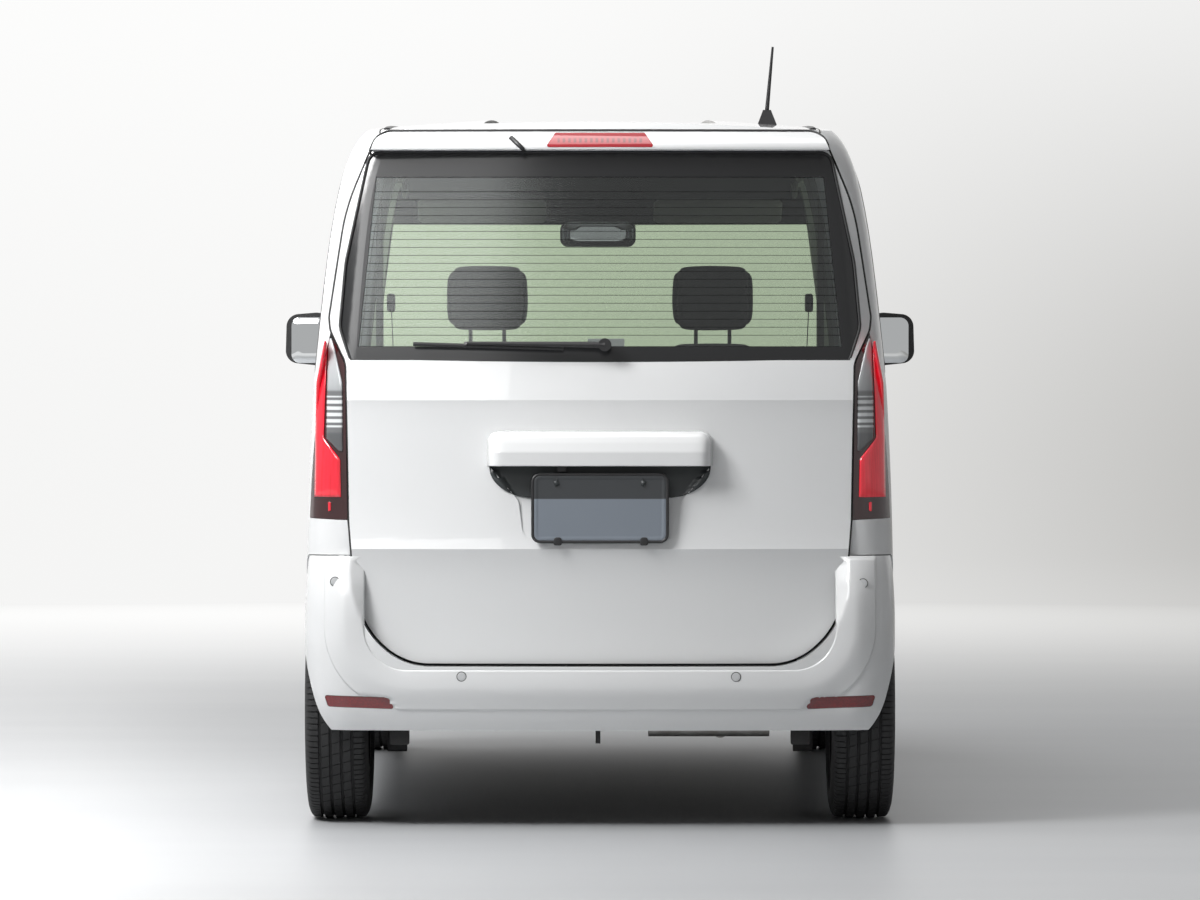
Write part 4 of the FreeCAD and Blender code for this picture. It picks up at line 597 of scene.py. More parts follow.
def on_skin(names, first, second, axis, side):
    """Coordinate along an axis of the outermost skin of CAD nodes, over places across that axis.
    A place lies in a triangle where its three edge functions have one sign; their shares weigh
    the corners' own coordinates. Places over a gap take the value between their neighbours."""
    smallest_area, slack, batch = 1e-10, 1e-5, 150
    k = "xyz".index(axis)
    i, j = [n for n in range(3) if n != k]
    corners = np.concatenate([triangles(name) for name in names])
    low, high = corners.min(axis=1), corners.max(axis=1)
    near = (high[:, i] >= first.min()) & (low[:, i] <= first.max())
    near &= (high[:, j] >= second.min()) & (low[:, j] <= second.max())
    a, b, h = corners[near][..., i], corners[near][..., j], corners[near][..., k] * side
    area = (a[:, 1] - a[:, 0]) * (b[:, 2] - b[:, 0]) - (a[:, 2] - a[:, 0]) * (b[:, 1] - b[:, 0])
    real = np.abs(area) > smallest_area
    a, b, h, area = a[real], b[real], h[real], area[real]
    batches = first.size // batch + 1
    found = []
    for p, q in zip(np.array_split(first.ravel(), batches), np.array_split(second.ravel(), batches)):
        p, q = p[:, None], q[:, None]
        shares = []
        for m, n in ((1, 2), (2, 0), (0, 1)):
            edge = (a[:, m] - p) * (b[:, n] - q) - (a[:, n] - p) * (b[:, m] - q)
            shares.append(edge / area)
        inside = np.minimum(np.minimum(shares[0], shares[1]), shares[2]) > -slack
        height = shares[0] * h[:, 0] + shares[1] * h[:, 1] + shares[2] * h[:, 2]
        found.append(np.where(inside, height, -np.inf).max(axis=1))
    found = np.concatenate(found)
    good = np.isfinite(found)
    found = np.interp(np.arange(len(found)), np.flatnonzero(good), found[good])
    return (found * side).reshape(np.shape(first))


def rounded(corners, step=0.012):
    """Even points (n, 2) along a closed outline of (a, b, radius) corners.
    Each corner is an arc that touches both of its runs; the whole is then cut into equal steps."""
    arc_points = 9
    places = np.array([corner[:2] for corner in corners], float)
    runs = []
    for here, before, after, corner in zip(places, np.roll(places, 1, 0), np.roll(places, -1, 0), corners):
        back = (before - here) / np.linalg.norm(before - here)
        ahead = (after - here) / np.linalg.norm(after - here)
        half = math.acos(float(np.clip(back @ ahead, -1, 1))) / 2
        middle = (back + ahead) / np.linalg.norm(back + ahead)
        centre = here + middle * corner[2] / math.sin(half)
        reach = math.pi / 2 - half
        turn = math.copysign(1, back[0] * ahead[1] - back[1] * ahead[0])
        angle = math.atan2(-middle[1], -middle[0]) + turn * np.linspace(reach, -reach, arc_points)
        arc = centre + corner[2] * np.stack([np.cos(angle), np.sin(angle)], axis=-1)
        if np.linalg.norm(arc[0] - before) > np.linalg.norm(arc[-1] - before):
            arc = arc[::-1]
        runs.append(arc)
    line = np.concatenate(runs + [runs[0][:1]])
    length = np.concatenate([[0], np.cumsum(np.linalg.norm(np.diff(line, axis=0), axis=1))])
    even = np.linspace(0, length[-1], int(length[-1] / step), endpoint=False)
    return np.stack([np.interp(even, length, line[:, 0]), np.interp(even, length, line[:, 1])], axis=-1)


def box_corners(low_a, low_b, high_a, high_b, radius):
    """(a, b, radius) corners of an upright box"""
    return [(a, b, radius) for a, b in ((low_a, low_b), (high_a, low_b), (high_a, high_b), (low_a, high_b))]


def both_sides(corners):
    """closed outline from the corners of its right half, which go up, and their mirror image"""
    left = [(-a, b, radius) for a, b, radius in reversed(corners)]
    return left[-1:] + corners + left[:-1]


def inset(line, distance):
    """closed line of (a, b) points moved to its inner side"""
    ahead = np.roll(line, -1, 0) - np.roll(line, 1, 0)
    ahead /= np.linalg.norm(ahead, axis=1)[:, None]
    area = np.sum(line[:, 0] * np.roll(line[:, 1], -1) - np.roll(line[:, 0], -1) * line[:, 1])
    return line + distance * math.copysign(1, area) * np.stack([-ahead[:, 1], ahead[:, 0]], axis=-1)


def signed_power(value, exponent):
    """sign(value) times |value| to an exponent"""
    return np.sign(value) * np.abs(value) ** exponent


def cap_ends(item, rows, sides):
    """closes the two ends of an open bar"""
    mesh = item.data
    first, last = np.arange(sides), np.arange(sides) + (rows - 1) * sides
    places = read(mesh.vertices, "co").tolist()
    faces = [list(p.vertices) for p in mesh.polygons] + [first[::-1].tolist(), last.tolist()]
    material = mesh.materials[0]
    mesh.clear_geometry()
    mesh.from_pydata(places, [], faces)
    mesh.shade_smooth()
    if not mesh.materials:
        mesh.materials.append(material)
    return crease(item, 50)


def bead(name, path, outward, width, height, finish, closed=True, sides=8, power=1.0):
    """Bar carried along a path: its section is an ellipse, or with a power below 1 a rounded box.
    Its width lies across the path and the outward direction, and its height along outward."""
    ahead = np.roll(path, -1, 0) - np.roll(path, 1, 0) if closed else np.gradient(path, axis=0)
    out = np.broadcast_to(np.asarray(outward, float), path.shape)
    across = np.cross(ahead, out)
    across /= np.linalg.norm(across, axis=1)[:, None]
    out = np.cross(across, ahead)
    out /= np.linalg.norm(out, axis=1)[:, None]
    angle = np.linspace(0, 2 * math.pi, sides, endpoint=False)
    wide = signed_power(np.cos(angle), power) / 2
    tall = signed_power(np.sin(angle), power) / 2
    width, height = np.broadcast_to(width, len(path)), np.broadcast_to(height, len(path))
    points = (path[:, None] + across[:, None] * (wide * width[:, None])[..., None]
              + out[:, None] * (tall * height[:, None])[..., None])
    item = add_mesh(name, points, finish, close_u=closed, close_v=True)
    return item if closed else cap_ends(item, len(path), sides)


def skin_bead(name, corners, skin, body, axis, sign, width, height, sink, reach):
    """Rubber bead along an outline of a side (axis x, outline y and z) or of the rear (axis y,
    outline x and z). It lies sunk in the skin that a node has just inside the outline."""
    line = rounded(corners)
    touch = inset(line, reach)
    level = on_skin([skin], touch[:, 0], touch[:, 1], axis, sign) - sign * sink
    if axis == "x":
        path, outward = [level, line[:, 0], line[:, 1]], (sign, 0, 0)
    else:
        path, outward = [line[:, 0], level, line[:, 1]], (0, sign, 0)
    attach(bead(name, np.stack(path, axis=-1), outward, width, height, seal_rubber), body)


gate_corners = both_sides([
    (0.480, 0.405, 0.16), (0.573, 0.487, 0.20), (0.602, 0.585, 0.08), (0.616, 0.755, 0.06),
    (0.624, 1.143, 0.06), (0.664, 1.225, 0.06), (0.667, 1.257, 0.04), (0.627, 1.523, 0.50),
    (0.552, 1.703, 0.04), (0.523, 1.716, 0.03)])
rear_glass = both_sides([
    (0.612, 1.141, 0.02), (0.642, 1.231, 0.06), (0.628, 1.391, 0.2), (0.570, 1.664, 0.03)])
door_front, door_pillar, slider_rear = 0.820, -0.110, -0.852
door_low, rail, belt_line, gutter = 0.345, 1.682, 1.097, 1.640
front_door_corners = [
    (door_pillar + 0.0025, door_low, 0.06), (door_front, door_low, 0.06), (door_front, 1.085, 0.06),
    (door_front - 0.330, rail, 0.045), (door_pillar + 0.0025, rail + 0.006, 0.02)]
sliding_door_corners = [
    (slider_rear, door_low, 0.09), (door_pillar - 0.0025, door_low, 0.06),
    (door_pillar - 0.0025, rail + 0.006, 0.02), (slider_rear, rail + 0.004, 0.06)]
front_window = [
    (door_pillar + 0.048, belt_line, 0.025), (door_front - 0.062, belt_line, 0.018),
    (door_front - 0.362, gutter, 0.035), (door_pillar + 0.048, gutter, 0.03)]
sliding_window = [
    (slider_rear + 0.042, belt_line + 0.006, 0.04), (door_pillar - 0.048, belt_line, 0.025),
    (door_pillar - 0.048, gutter, 0.03), (slider_rear + 0.042, gutter - 0.002, 0.04)]
rear_window = [
    (slider_rear - 0.575, belt_line + 0.022, 0.05), (slider_rear - 0.048, belt_line + 0.008, 0.03),
    (slider_rear - 0.048, gutter - 0.004, 0.03), (slider_rear - 0.540, gutter - 0.014, 0.06)]
quarter_light = [
    (door_front + 0.028, belt_line + 0.004, 0.012), (door_front + 0.158, belt_line + 0.004, 0.014),
    (door_front - 0.150, gutter - 0.175, 0.014)]

skin_bead("tailgate_seal", gate_corners, "tailgate", "car", "y", -1, 0.0085, 0.006, 0.0075, 0.004)
skin_bead("rear_glass_seal", rear_glass, "tailgate_glass", "tailgate", "y", -1, 0.007, 0.004, -0.0006, 0.006)
for side, sign in (("left", -1), ("right", 1)):
    door, slider, shell = "front_door_" + side, "sliding_door_" + side, "body_side_" + side
    for name, corners, skin, body, width, height, sink, reach in (
            ("front_door_seal_", front_door_corners, door, "car", 0.0075, 0.006, 0.0085, 0.005),
            ("sliding_door_seal_", sliding_door_corners, slider, "car", 0.0075, 0.006, 0.0085, 0.005),
            ("front_window_seal_", front_window, door, door, 0.012, 0.007, 0.0, -0.004),
            ("sliding_window_seal_", sliding_window, slider, "car", 0.012, 0.007, 0.0, -0.004),
            ("rear_window_seal_", rear_window, shell, "car", 0.012, 0.007, 0.0, -0.004),
            ("quarter_light_seal_", quarter_light, shell, "car", 0.010, 0.007, 0.0, -0.003)):
        skin_bead(name + side, corners, skin, body, "x", sign, width, height, sink, reach)


# Tail lamps: tall units at the rear corners. A dark red outer lens carries a bright red moulded
# lens and a clear one with the light bars; a black cap closes the top. Reflectors sit in the bumper.
def lamp_body(finish):
    """dark lens colour with the black cap on top and the plain red of the low reflectors"""
    z = finish.axis("Z")
    streak = finish.noise(60, 2.0, (1, 1, 0.15))
    border = finish.mix(streak, (0.022, 0.005, 0.006), (0.055, 0.012, 0.013))
    capped = finish.mix(finish.band(z, 1.199, 1.203), border, (0.006, 0.006, 0.007))
    prism = finish.cells(260)
    low = finish.mix(prism, (0.12, 0.004, 0.007), (0.24, 0.008, 0.012))
    return finish.mix(finish.band(z, 0.5, 0.45), capped, low)


lamp_lens = Finish("dark_red_lens", roughness=0.16, coat_weight=1.0, coat_roughness=0.02)
lamp_lens.set(
    base_color=lamp_body(lamp_lens),
    normal=lamp_lens.bump(lamp_lens.cells(260), 0.0002, 0.25))
dress(lamp_lens, "tail_lamps")
red_lens = Finish(
    "bright_red_lens", roughness=0.12, coat_weight=1.0, coat_roughness=0.02,
    emission_color=(0.9, 0.012, 0.03, 1.0), emission_strength=0.16)
red_ribs = red_lens.cells(150, (1, 1, 0.02))
red_lens.set(
    base_color=red_lens.mix(red_ribs, (0.62, 0.008, 0.022), (0.86, 0.018, 0.045)),
    normal=red_lens.bump(red_ribs, 0.0004, 0.4))

bar_pitch, bars_low, bars_high = 0.0155, 0.985, 1.062
clear_lens = Finish("clear_lens", roughness=0.1, coat_weight=1.0, coat_roughness=0.02)
height = clear_lens.axis("Z")
bars = clear_lens.math("FRACT", clear_lens.math("DIVIDE", height, bar_pitch))
bars = clear_lens.between(bars, 0.30, 0.85, 0.06)
bars = clear_lens.math("MULTIPLY", bars, clear_lens.between(height, bars_low, bars_high, 0.002))
backing = clear_lens.mix(clear_lens.band(height, 0.955, 1.15), (0.10, 0.105, 0.11), (0.50, 0.52, 0.53))
backing = clear_lens.mix(clear_lens.between(height, 0.972, 1.075, 0.004), backing, (0.16, 0.165, 0.17))
clear_lens.set(
    base_color=clear_lens.mix(bars, backing, (0.72, 0.74, 0.75)),
    normal=clear_lens.bump(clear_lens.cells(240, (1, 1, 0.03)), 0.0003, 0.4))


def lens(name, sign, heights, outer, inner, rise, finish):
    """Lens over the tail lamp: rows go up between an inner and an outer edge, given by heights.
    It rises from the skin by rise * (1 - u^6) * (1 - v^12), so its rim is rounded all round."""
    clearance = 0.0003
    u, v = np.linspace(-1, 1, 15)[:, None], np.linspace(-1, 1, 61)
    z = np.interp(v, [-1, 1], [heights[0], heights[-1]])
    low, high = np.interp(z, heights, inner), np.interp(z, heights, outer)
    x = low + (high - low) * (u + 1) / 2
    z = np.broadcast_to(z, x.shape)
    y = on_skin(["tail_lamps"], sign * x, z, "y", -1)
    crown = rise * (1 - np.abs(u) ** 6) * (1 - np.abs(v) ** 12) + clearance
    item = add_mesh(name, np.stack([sign * x, y - crown, z], axis=-1), finish)
    if sign > 0:
        item.data.flip_normals()
    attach(thicken(item, 0.002), "car")


for side, sign in (("left", -1), ("right", 1)):
    lens("red_lens_" + side, sign,
         (0.8135, 0.906, 0.958, 1.094, 1.180, 1.197),
         (0.7030, 0.7020, 0.7015, 0.6992, 0.6830, 0.6790),
         (0.6370, 0.6390, 0.6810, 0.6765, 0.6740, 0.6755), 0.0028, red_lens)
    lens("clear_lens_" + side, sign,
         (0.926, 0.958, 1.094, 1.180, 1.203),
         (0.6400, 0.6735, 0.6715, 0.6690, 0.6655),
         (0.6340, 0.6340, 0.6345, 0.6560, 0.6645), 0.0022, clear_lens)
    lens("lamp_marker_" + side, sign, (0.780, 0.800), (0.6675, 0.6675), (0.6635, 0.6635), 0.0008, red_lens)


# High stop lamp: a dark red lens clipped into the spoiler lip, with a row of small lights behind
# it that show through as darker spots while they are off.
light_pitch, row_half = 0.0135, 0.105
stop_lens = Finish("stop_lamp_lens", roughness=0.12, coat_weight=1.0, coat_roughness=0.02)
cell = stop_lens.math("ADD", stop_lens.axis("X"), 1.0)
cell = stop_lens.math("FRACT", stop_lens.math("DIVIDE", cell, light_pitch))
spot = stop_lens.between(cell, 0.25, 0.75, 0.1)
spot = stop_lens.math("MULTIPLY", spot, stop_lens.between(stop_lens.axis("Z"), 1.686, 1.697, 0.002))
spot = stop_lens.math("MULTIPLY", spot, stop_lens.between(stop_lens.axis("X"), -row_half, row_half, 0.002))
stop_lens.set(base_color=stop_lens.mix(spot, (0.36, 0.010, 0.018), (0.17, 0.006, 0.010)))
dress(stop_lens, "stop_lamp")


# Plate carrier: a bare grey-blue plate with a pressed rim in a thin dark frame, held at its foot by
# two black clips. Its upper part is painted near black as the shadow that the garnish casts on it. A
# dark sheet under the body-coloured garnish, painted shade in the recess, holds the tailgate's switch.
def slab(name, outline, back, front, finish, soft=0.0015, rim=0.0):
    """Plate with rounded edges from a closed outline (n, 2) of (x, z), between two y planes.
    Rings run from the back over the edge to the middle; a rim stands proud by its own height."""

    def ring(flat, y):
        return np.column_stack([flat[:, 0], np.full(len(flat), y), flat[:, 1]])

    steps = [(0.0, back), (0.0, front + soft), (soft * 0.3, front + soft * 0.3), (soft, front)]
    if rim:
        steps += [(0.0075, front), (0.0095, front + rim), (0.012, front + rim)]
    middle = outline.mean(axis=0)
    edge, top = inset(outline, steps[-1][0]), steps[-1][1]
    rings = [ring(middle + 0 * outline, back)]
    rings += [ring(inset(outline, distance), y) for distance, y in steps]
    rings += [ring(middle + (edge - middle) * share, top) for share in (0.55, 0.0)]
    return crease(add_mesh(name, np.stack(rings), finish, close_v=True), 35)


plate_low, plate_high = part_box("licence_plate")
plate_outline = rounded(box_corners(plate_low[0], plate_low[2], plate_high[0], plate_high[2], 0.018), 0.006)
plate_paint = Finish("plate_paint", roughness=0.34, coat_weight=0.5, coat_roughness=0.12)
# Painted shadow: above z 0.81 the plate is near black, standing for the shade the garnish casts on it.
painted_shadow = plate_paint.band(plate_paint.axis("Z"), 0.809, 0.812)
plate_blue = plate_paint.mix(plate_paint.noise(3), (0.185, 0.215, 0.255), (0.215, 0.245, 0.285))
plate_paint.set(
    base_color=plate_paint.mix(painted_shadow, plate_blue, (0.030, 0.034, 0.038)),
    normal=plate_paint.bump(plate_paint.noise(400), 0.0001, 0.3))
plate_face, inner_outline = plate_low[1] + 0.0002, inset(plate_outline, 0.003)
plate = slab("blank_plate", inner_outline, plate_high[1], plate_face, plate_paint, 0.001, 0.0008)
frame_y = np.full(len(plate_outline), plate_low[1] + 0.0012)
frame_path = np.column_stack([plate_outline[:, 0], frame_y, plate_outline[:, 1]])
plate_frame = bead("plate_frame", frame_path, (0, -1, 0), 0.0075, 0.004, satin_black, power=0.6)
for item in (plate, plate_frame):
    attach(item, "tailgate")
    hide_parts("licence_plate")
clip_foot, clip_top = plate_low[2] - 0.009, plate_low[2] + 0.011
for n, x in enumerate((-0.1035, 0.1080)):
    clip = rounded([(x - 0.0105, clip_foot, 0.005), (x + 0.0105, clip_foot, 0.005),
                    (x + 0.009, clip_top, 0.006), (x - 0.009, clip_top, 0.006)], 0.003)
    clip = slab("plate_clip_%d" % n, clip, plate_high[1] + 0.006, plate_low[1] - 0.004, satin_black)
    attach(clip, "tailgate")


def proud_moulding(name, half, z_low, z_high, corner, fronts, finish):
    """Moulding that stands proud of the tailgate, closed above and open below.
    Its outline is a rounded box in x and z; the front's y follows fronts, a list of (z, y), and
    each row across is drawn in towards the gate's skin at both ends and at the top."""
    u, v = np.linspace(-1, 1, 61)[:, None], np.linspace(0, 1, 31)
    z = z_low + (z_high - z_low) * v
    drop = np.clip((z - (z_high - corner)) / corner, 0, 1)
    x = u * (half - corner * (1 - np.sqrt(1 - drop ** 2)))
    z = np.broadcast_to(z, x.shape)
    skin = on_skin(["tailgate"], np.clip(x, -half, half), np.maximum(z, z_low + 0.004), "y", -1)
    front = np.interp(z, [place[0] for place in fronts], [place[1] for place in fronts])
    fall = (1 - np.abs(u) ** 40) * (1 - v ** 24)
    return add_mesh(name, np.stack([x, skin + (front - skin) * fall, z], axis=-1), finish)


garnish_fronts = [(0.891, -1.6925), (0.925, -1.6915), (0.947, -1.6835), (0.975, -1.6690)]
garnish = proud_moulding("garnish_hood", 0.2745, 0.891, 0.9745, 0.028, garnish_fronts, plain_pearl)
thicken(garnish, 0.003).data.flip_normals()
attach(garnish, "tailgate")
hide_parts("plate_garnish")

# Painted shade: a dark sheet just inside the skin under the garnish stands for the shade in the plate's
# recess; its sides widen towards the top, as the shadow's outline does.
shade_sheet_low, shade_sheet_height, shade_sheet_rise, clearance = 0.8125, 0.0795, 0.010, 0.0022
u, v = np.linspace(-1, 1, 61)[:, None], np.linspace(0, 1, 25)
half = 0.176 + 0.096 * (1 - (1 - v) ** 2.2) ** 0.62
x, z = u * half, shade_sheet_low + shade_sheet_height * np.broadcast_to(v, (61, 25))
skin = on_skin(["tailgate"], x, z, "y", -1)
depth = shade_sheet_rise * (1 - np.abs(u) ** 8) * np.ones_like(v)
shade_dark_plastic = moulded("painted_shade_plastic", (0.020, 0.024, 0.025), 0.42)
dark_shade_sheet = np.stack([x, skin - depth * v ** 1.5 - clearance, z], axis=-1)
dark_shade_sheet = thicken(add_mesh("painted_shade_sheet", dark_shade_sheet, shade_dark_plastic), 0.002)
dark_shade_sheet.data.flip_normals()
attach(dark_shade_sheet, "tailgate")
switch = rounded(box_corners(-0.105, 0.876, -0.083, 0.894, 0.003), 0.003)
switch = slab("tailgate_switch", switch, plate_high[1] + 0.03, plate_high[1] + 0.004, satin_black)
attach(switch, "tailgate")


# Rear wiper: pressed steel arm and a rubber blade in black, with a cap over the nut that holds the
# arm on the shaft of its motor.
dress(satin_black, "rear_wiper")


# Rear bumper details: a moulded ridge that runs round the tailgate's lower corners, and four parking
# sensors in painted caps, pressed into the cover from behind in rubber rings.
def ridge_patch(name, finish):
    """Band along the tailgate's lower edge, from the left to the right end of the U.
    Its line is a rounded box: down each side, round an arc and along the bottom. Across it, the
    height is peak * (1 - (a / inner)^1.4) on the gate's side and peak * (1 - s^2 (3 - 2 s)) beyond."""
    centre_x, centre_z, radius = 0.475, 0.495, 0.150
    ridge_top, fade_length, cover_foot, sunk = 0.668, 0.11, 0.262, 0.0004
    inner, outer, peak = 0.046, 0.052, 0.0062
    arc = np.linspace(0, math.pi / 2, 26)
    side_z = np.linspace(ridge_top, centre_z, 14, endpoint=False)
    bottom_x = np.linspace(centre_x, 0, 24)[1:]
    x = np.concatenate([np.full(14, centre_x + radius), centre_x + radius * np.cos(arc), bottom_x])
    z = np.concatenate([side_z, centre_z - radius * np.sin(arc), np.full(23, centre_z - radius)])
    out_x = np.concatenate([np.ones(14), np.cos(arc), np.zeros(23)])
    out_z = np.concatenate([np.zeros(14), -np.sin(arc), -np.ones(23)])
    across = np.linspace(-1, 1, 25)
    offset = np.where(across < 0, across * inner, across * outer)
    s = np.clip(across, 0, 1)
    rise = np.where(across < 0, 1 - np.abs(across) ** 1.4, 1 - s * s * (3 - 2 * s))
    fade = np.clip((ridge_top - z) / fade_length, 0, 1)[:, None]
    px = x[:, None] + out_x[:, None] * offset
    pz = np.maximum(z[:, None] + out_z[:, None] * offset, cover_foot)
    y = on_skin(["rear_bumper"], px, pz, "y", -1) - sunk - peak * rise * fade * fade * (3 - 2 * fade)
    right = np.stack([px, y, pz], axis=-1)
    left = right[::-1][1:] * np.array([-1, 1, 1])
    item = add_mesh(name, np.concatenate([right, left]), finish)
    item.data.flip_normals()
    return thicken(item, 0.0015)


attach(ridge_patch("bumper_ridge", plain_pearl), "car")
sensor_cap = Finish("painted_sensor_cap", roughness=0.3, coat_weight=0.8, coat_roughness=0.05)
sensor_cap.set(base_color=sensor_cap.mix(sensor_cap.noise(300), (0.55, 0.56, 0.57), (0.66, 0.665, 0.67)))
sensor_radius = 0.0113
angle = np.linspace(0, 2 * math.pi, 28, endpoint=False)
for n, (x, z, lift) in enumerate((
        (-0.650, 0.607, 0.0048), (-0.339, 0.376, 0.0055), (0.333, 0.375, 0.0055), (0.645, 0.603, 0.0048))):
    y = float(on_skin(["rear_bumper"], np.array([abs(x)]), np.array([z]), "y", -1)[0])
    circle = np.column_stack([x + sensor_radius * np.cos(angle), z + sensor_radius * np.sin(angle)])
    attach(slab("parking_sensor_%d" % n, circle, y + 0.01, y - lift, sensor_cap, 0.001), "car")
    ring = np.column_stack([circle[:, 0], np.full(28, y - lift + 0.0006), circle[:, 1]])
    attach(bead("sensor_ring_%d" % n, ring, (0, -1, 0), 0.0022, 0.0016, seal_rubber, sides=6), "car")


# Seats: two front seats on sheet-steel bases and a split rear bench. Each is moulded foam in a sewn
# cover of charcoal tricot with a woven centre panel, drawn down along its seams.
def woven(name, dark, pale, pitch=0.0026):
    """Cloth whose threads follow two crossed waves: sin(x / pitch) times sin((y + z) / pitch)."""
    finish = Finish(name, roughness=0.92, sheen_weight=0.35, sheen_roughness=0.4)
    turn = 2 * math.pi / pitch
    first = finish.math("SINE", finish.math("MULTIPLY", finish.axis("X"), turn))
    slope = finish.math("ADD", finish.axis("Y"), finish.axis("Z"))
    second = finish.math("SINE", finish.math("MULTIPLY", slope, turn))
    weave = finish.math("MULTIPLY_ADD", finish.math("MULTIPLY", first, second), 0.5, 0.5)
    cloud = finish.mix(finish.noise(30, 3.0), dark, pale)
    base = finish.mix(finish.math("MULTIPLY", weave, 0.45), cloud, pale)
    return finish.set(base_color=base, normal=finish.bump(weave, 0.00035, 0.6))


seat_cloth = woven("seat_tricot", (0.032, 0.034, 0.036), (0.070, 0.073, 0.076))
panel_cloth = woven("seat_centre_cloth", (0.085, 0.085, 0.083), (0.150, 0.150, 0.145), 0.0042)
seam_thread = woven("seam_thread", (0.045, 0.047, 0.05), (0.09, 0.092, 0.095), 0.0012)


def weld(item):
    """merges points that lie on each other, as at the poles of a closed form"""
    work = bmesh.new()
    work.from_mesh(item.data)
    bmesh.ops.remove_doubles(work, verts=work.verts, dist=1e-6)
    work.to_mesh(item.data)
    work.free()
    return item


def form(name, centre, size, finish, turn=0.0, plan=0.25, edge=0.3, steps=(40, 17)):
    """Closed rounded block about a centre, turned about X by an angle.
    With c(t, p) = sign(cos t) |cos t|^p and s likewise, x = c(v, edge) c(u, plan), y = c(v, edge)
    s(u, plan) and z = s(v, edge), times half the size."""
    u = np.linspace(0, 2 * math.pi, steps[0], endpoint=False)[:, None]
    v = np.linspace(-math.pi / 2, math.pi / 2, steps[1])
    ring = signed_power(np.cos(v), edge)
    ring[[0, -1]] = 0
    z = signed_power(np.sin(v), edge) * np.ones_like(u)
    x, y = ring * signed_power(np.cos(u), plan), ring * signed_power(np.sin(u), plan)
    local = np.stack([x, y, z], axis=-1) * np.asarray(size) / 2
    c, s = math.cos(turn), math.sin(turn)
    y, z = local[..., 1] * c - local[..., 2] * s, local[..., 1] * s + local[..., 2] * c
    points = np.stack([local[..., 0], y, z], axis=-1) + np.asarray(centre)
    return weld(add_mesh(name, points, finish, close_u=True))


def smooth(item):
    """adds subdivision, the same in the view and in the render"""
    modifier = item.modifiers.new("rounding", "SUBSURF")
    modifier.levels = modifier.render_levels = 1
    return item


def swollen(item, voxel, limit, pressure=4.0):
    """Cloth under air pressure: remeshed evenly, blown up over 20 frames with no gravity, and each
    point's way capped at a limit. The outcome replaces the mesh."""
    modifier = item.modifiers.new("even", "REMESH")
    modifier.mode = "VOXEL"
    modifier.voxel_size = voxel
    scene = bpy.context.scene
    scene.frame_set(1)
    graph = bpy.context.evaluated_depsgraph_get()
    even = bpy.data.meshes.new_from_object(item.evaluated_get(graph))
    item.modifiers.clear()
    item.data = even
    start = read(even.vertices, "co")
    cloth = item.modifiers.new("air", "CLOTH")
    cloth.settings.quality = 4
    cloth.settings.mass = 0.25
    cloth.settings.tension_stiffness = 12
    cloth.settings.compression_stiffness = 12
    cloth.settings.bending_stiffness = 0.6
    cloth.settings.use_pressure = True
    cloth.settings.uniform_pressure_force = pressure
    cloth.settings.effector_weights.gravity = 0
    cloth.collision_settings.use_collision = False
    for step in range(1, 21):
        scene.frame_set(step)
    graph = bpy.context.evaluated_depsgraph_get()
    move = read(item.evaluated_get(graph).data.vertices, "co") - start
    item.modifiers.clear()
    scene.frame_set(1)
    length = np.linalg.norm(move, axis=1)[:, None]
    move *= np.minimum(1, limit / np.maximum(length, 1e-9))
    even.vertices.foreach_set("co", (start + move).ravel())
    even.shade_smooth()
    even.update()
    return item


def drawn_in(item, centre, turn, half_panel, channels, depth=0.007, width=0.008):
    """Pulls the cover in along its seams, in the pad's own turned axes.
    Seams run at x = +-half_panel and across at each channel; the depth is depth * exp(-(d / width)^2),
    against the vertex normals."""
    mesh = item.data
    places, normals = read(mesh.vertices, "co"), read(mesh.vertices, "normal")
    local = places - centre
    c, s = math.cos(turn), math.sin(turn)
    along = local[:, 1] * c + local[:, 2] * s
    away = np.abs(np.abs(local[:, 0]) - half_panel)
    pull = np.exp(-(away / width) ** 2)
    inside = 1 / (1 + np.exp((np.abs(local[:, 0]) - half_panel) / (width / 2)))
    for place in channels:
        pull = np.maximum(pull, inside * np.exp(-((along - place) / width) ** 2))
    mesh.vertices.foreach_set("co", (places - normals * (pull * depth)[:, None]).ravel())
    if len(mesh.materials) < 2:
        mesh.materials.append(panel_cloth.material)
    middles = read(mesh.polygons, "center") - centre
    facing = read(mesh.polygons, "normal") @ np.array([0, -s, c])
    panel = (np.abs(middles[:, 0]) < half_panel) & (facing > 0.25)
    mesh.polygons.foreach_set("material_index", panel.astype(np.int32))
    mesh.update()
    return item


def cushion(name, centre, size, turn, half_panel, channels, node, voxel=0.012):
    """sewn pad of a size about a centre: blown up, then drawn in along its seams"""
    room_to_swell, swell_limit = np.array([0.026, 0.026, 0.030]), 0.022
    centre = np.asarray(centre, float)
    item = form(name, centre, np.asarray(size) - room_to_swell, seat_cloth, turn, 0.30, 0.52, (64, 33))
    item = drawn_in(swollen(item, voxel, swell_limit), centre, turn, half_panel, channels)
    smooth(item)
    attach(item, "car")
    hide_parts(node)


def piping(name, centre, size, turn):
    """sewn edge round a pad: a thin cord along its widest section"""
    inward, cord, plan = 0.004, 0.007, 0.30
    angle = np.linspace(0, 2 * math.pi, 72, endpoint=False)
    x = signed_power(np.cos(angle), plan) * (size[0] / 2 - inward)
    y = signed_power(np.sin(angle), plan) * (size[1] / 2 - inward)
    c, s = math.cos(turn), math.sin(turn)
    path = np.column_stack([x, y * c, y * s]) + np.asarray(centre)
    item = bead(name, path, (0, -s, c), cord, cord, seam_thread, sides=6)
    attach(item, "car")


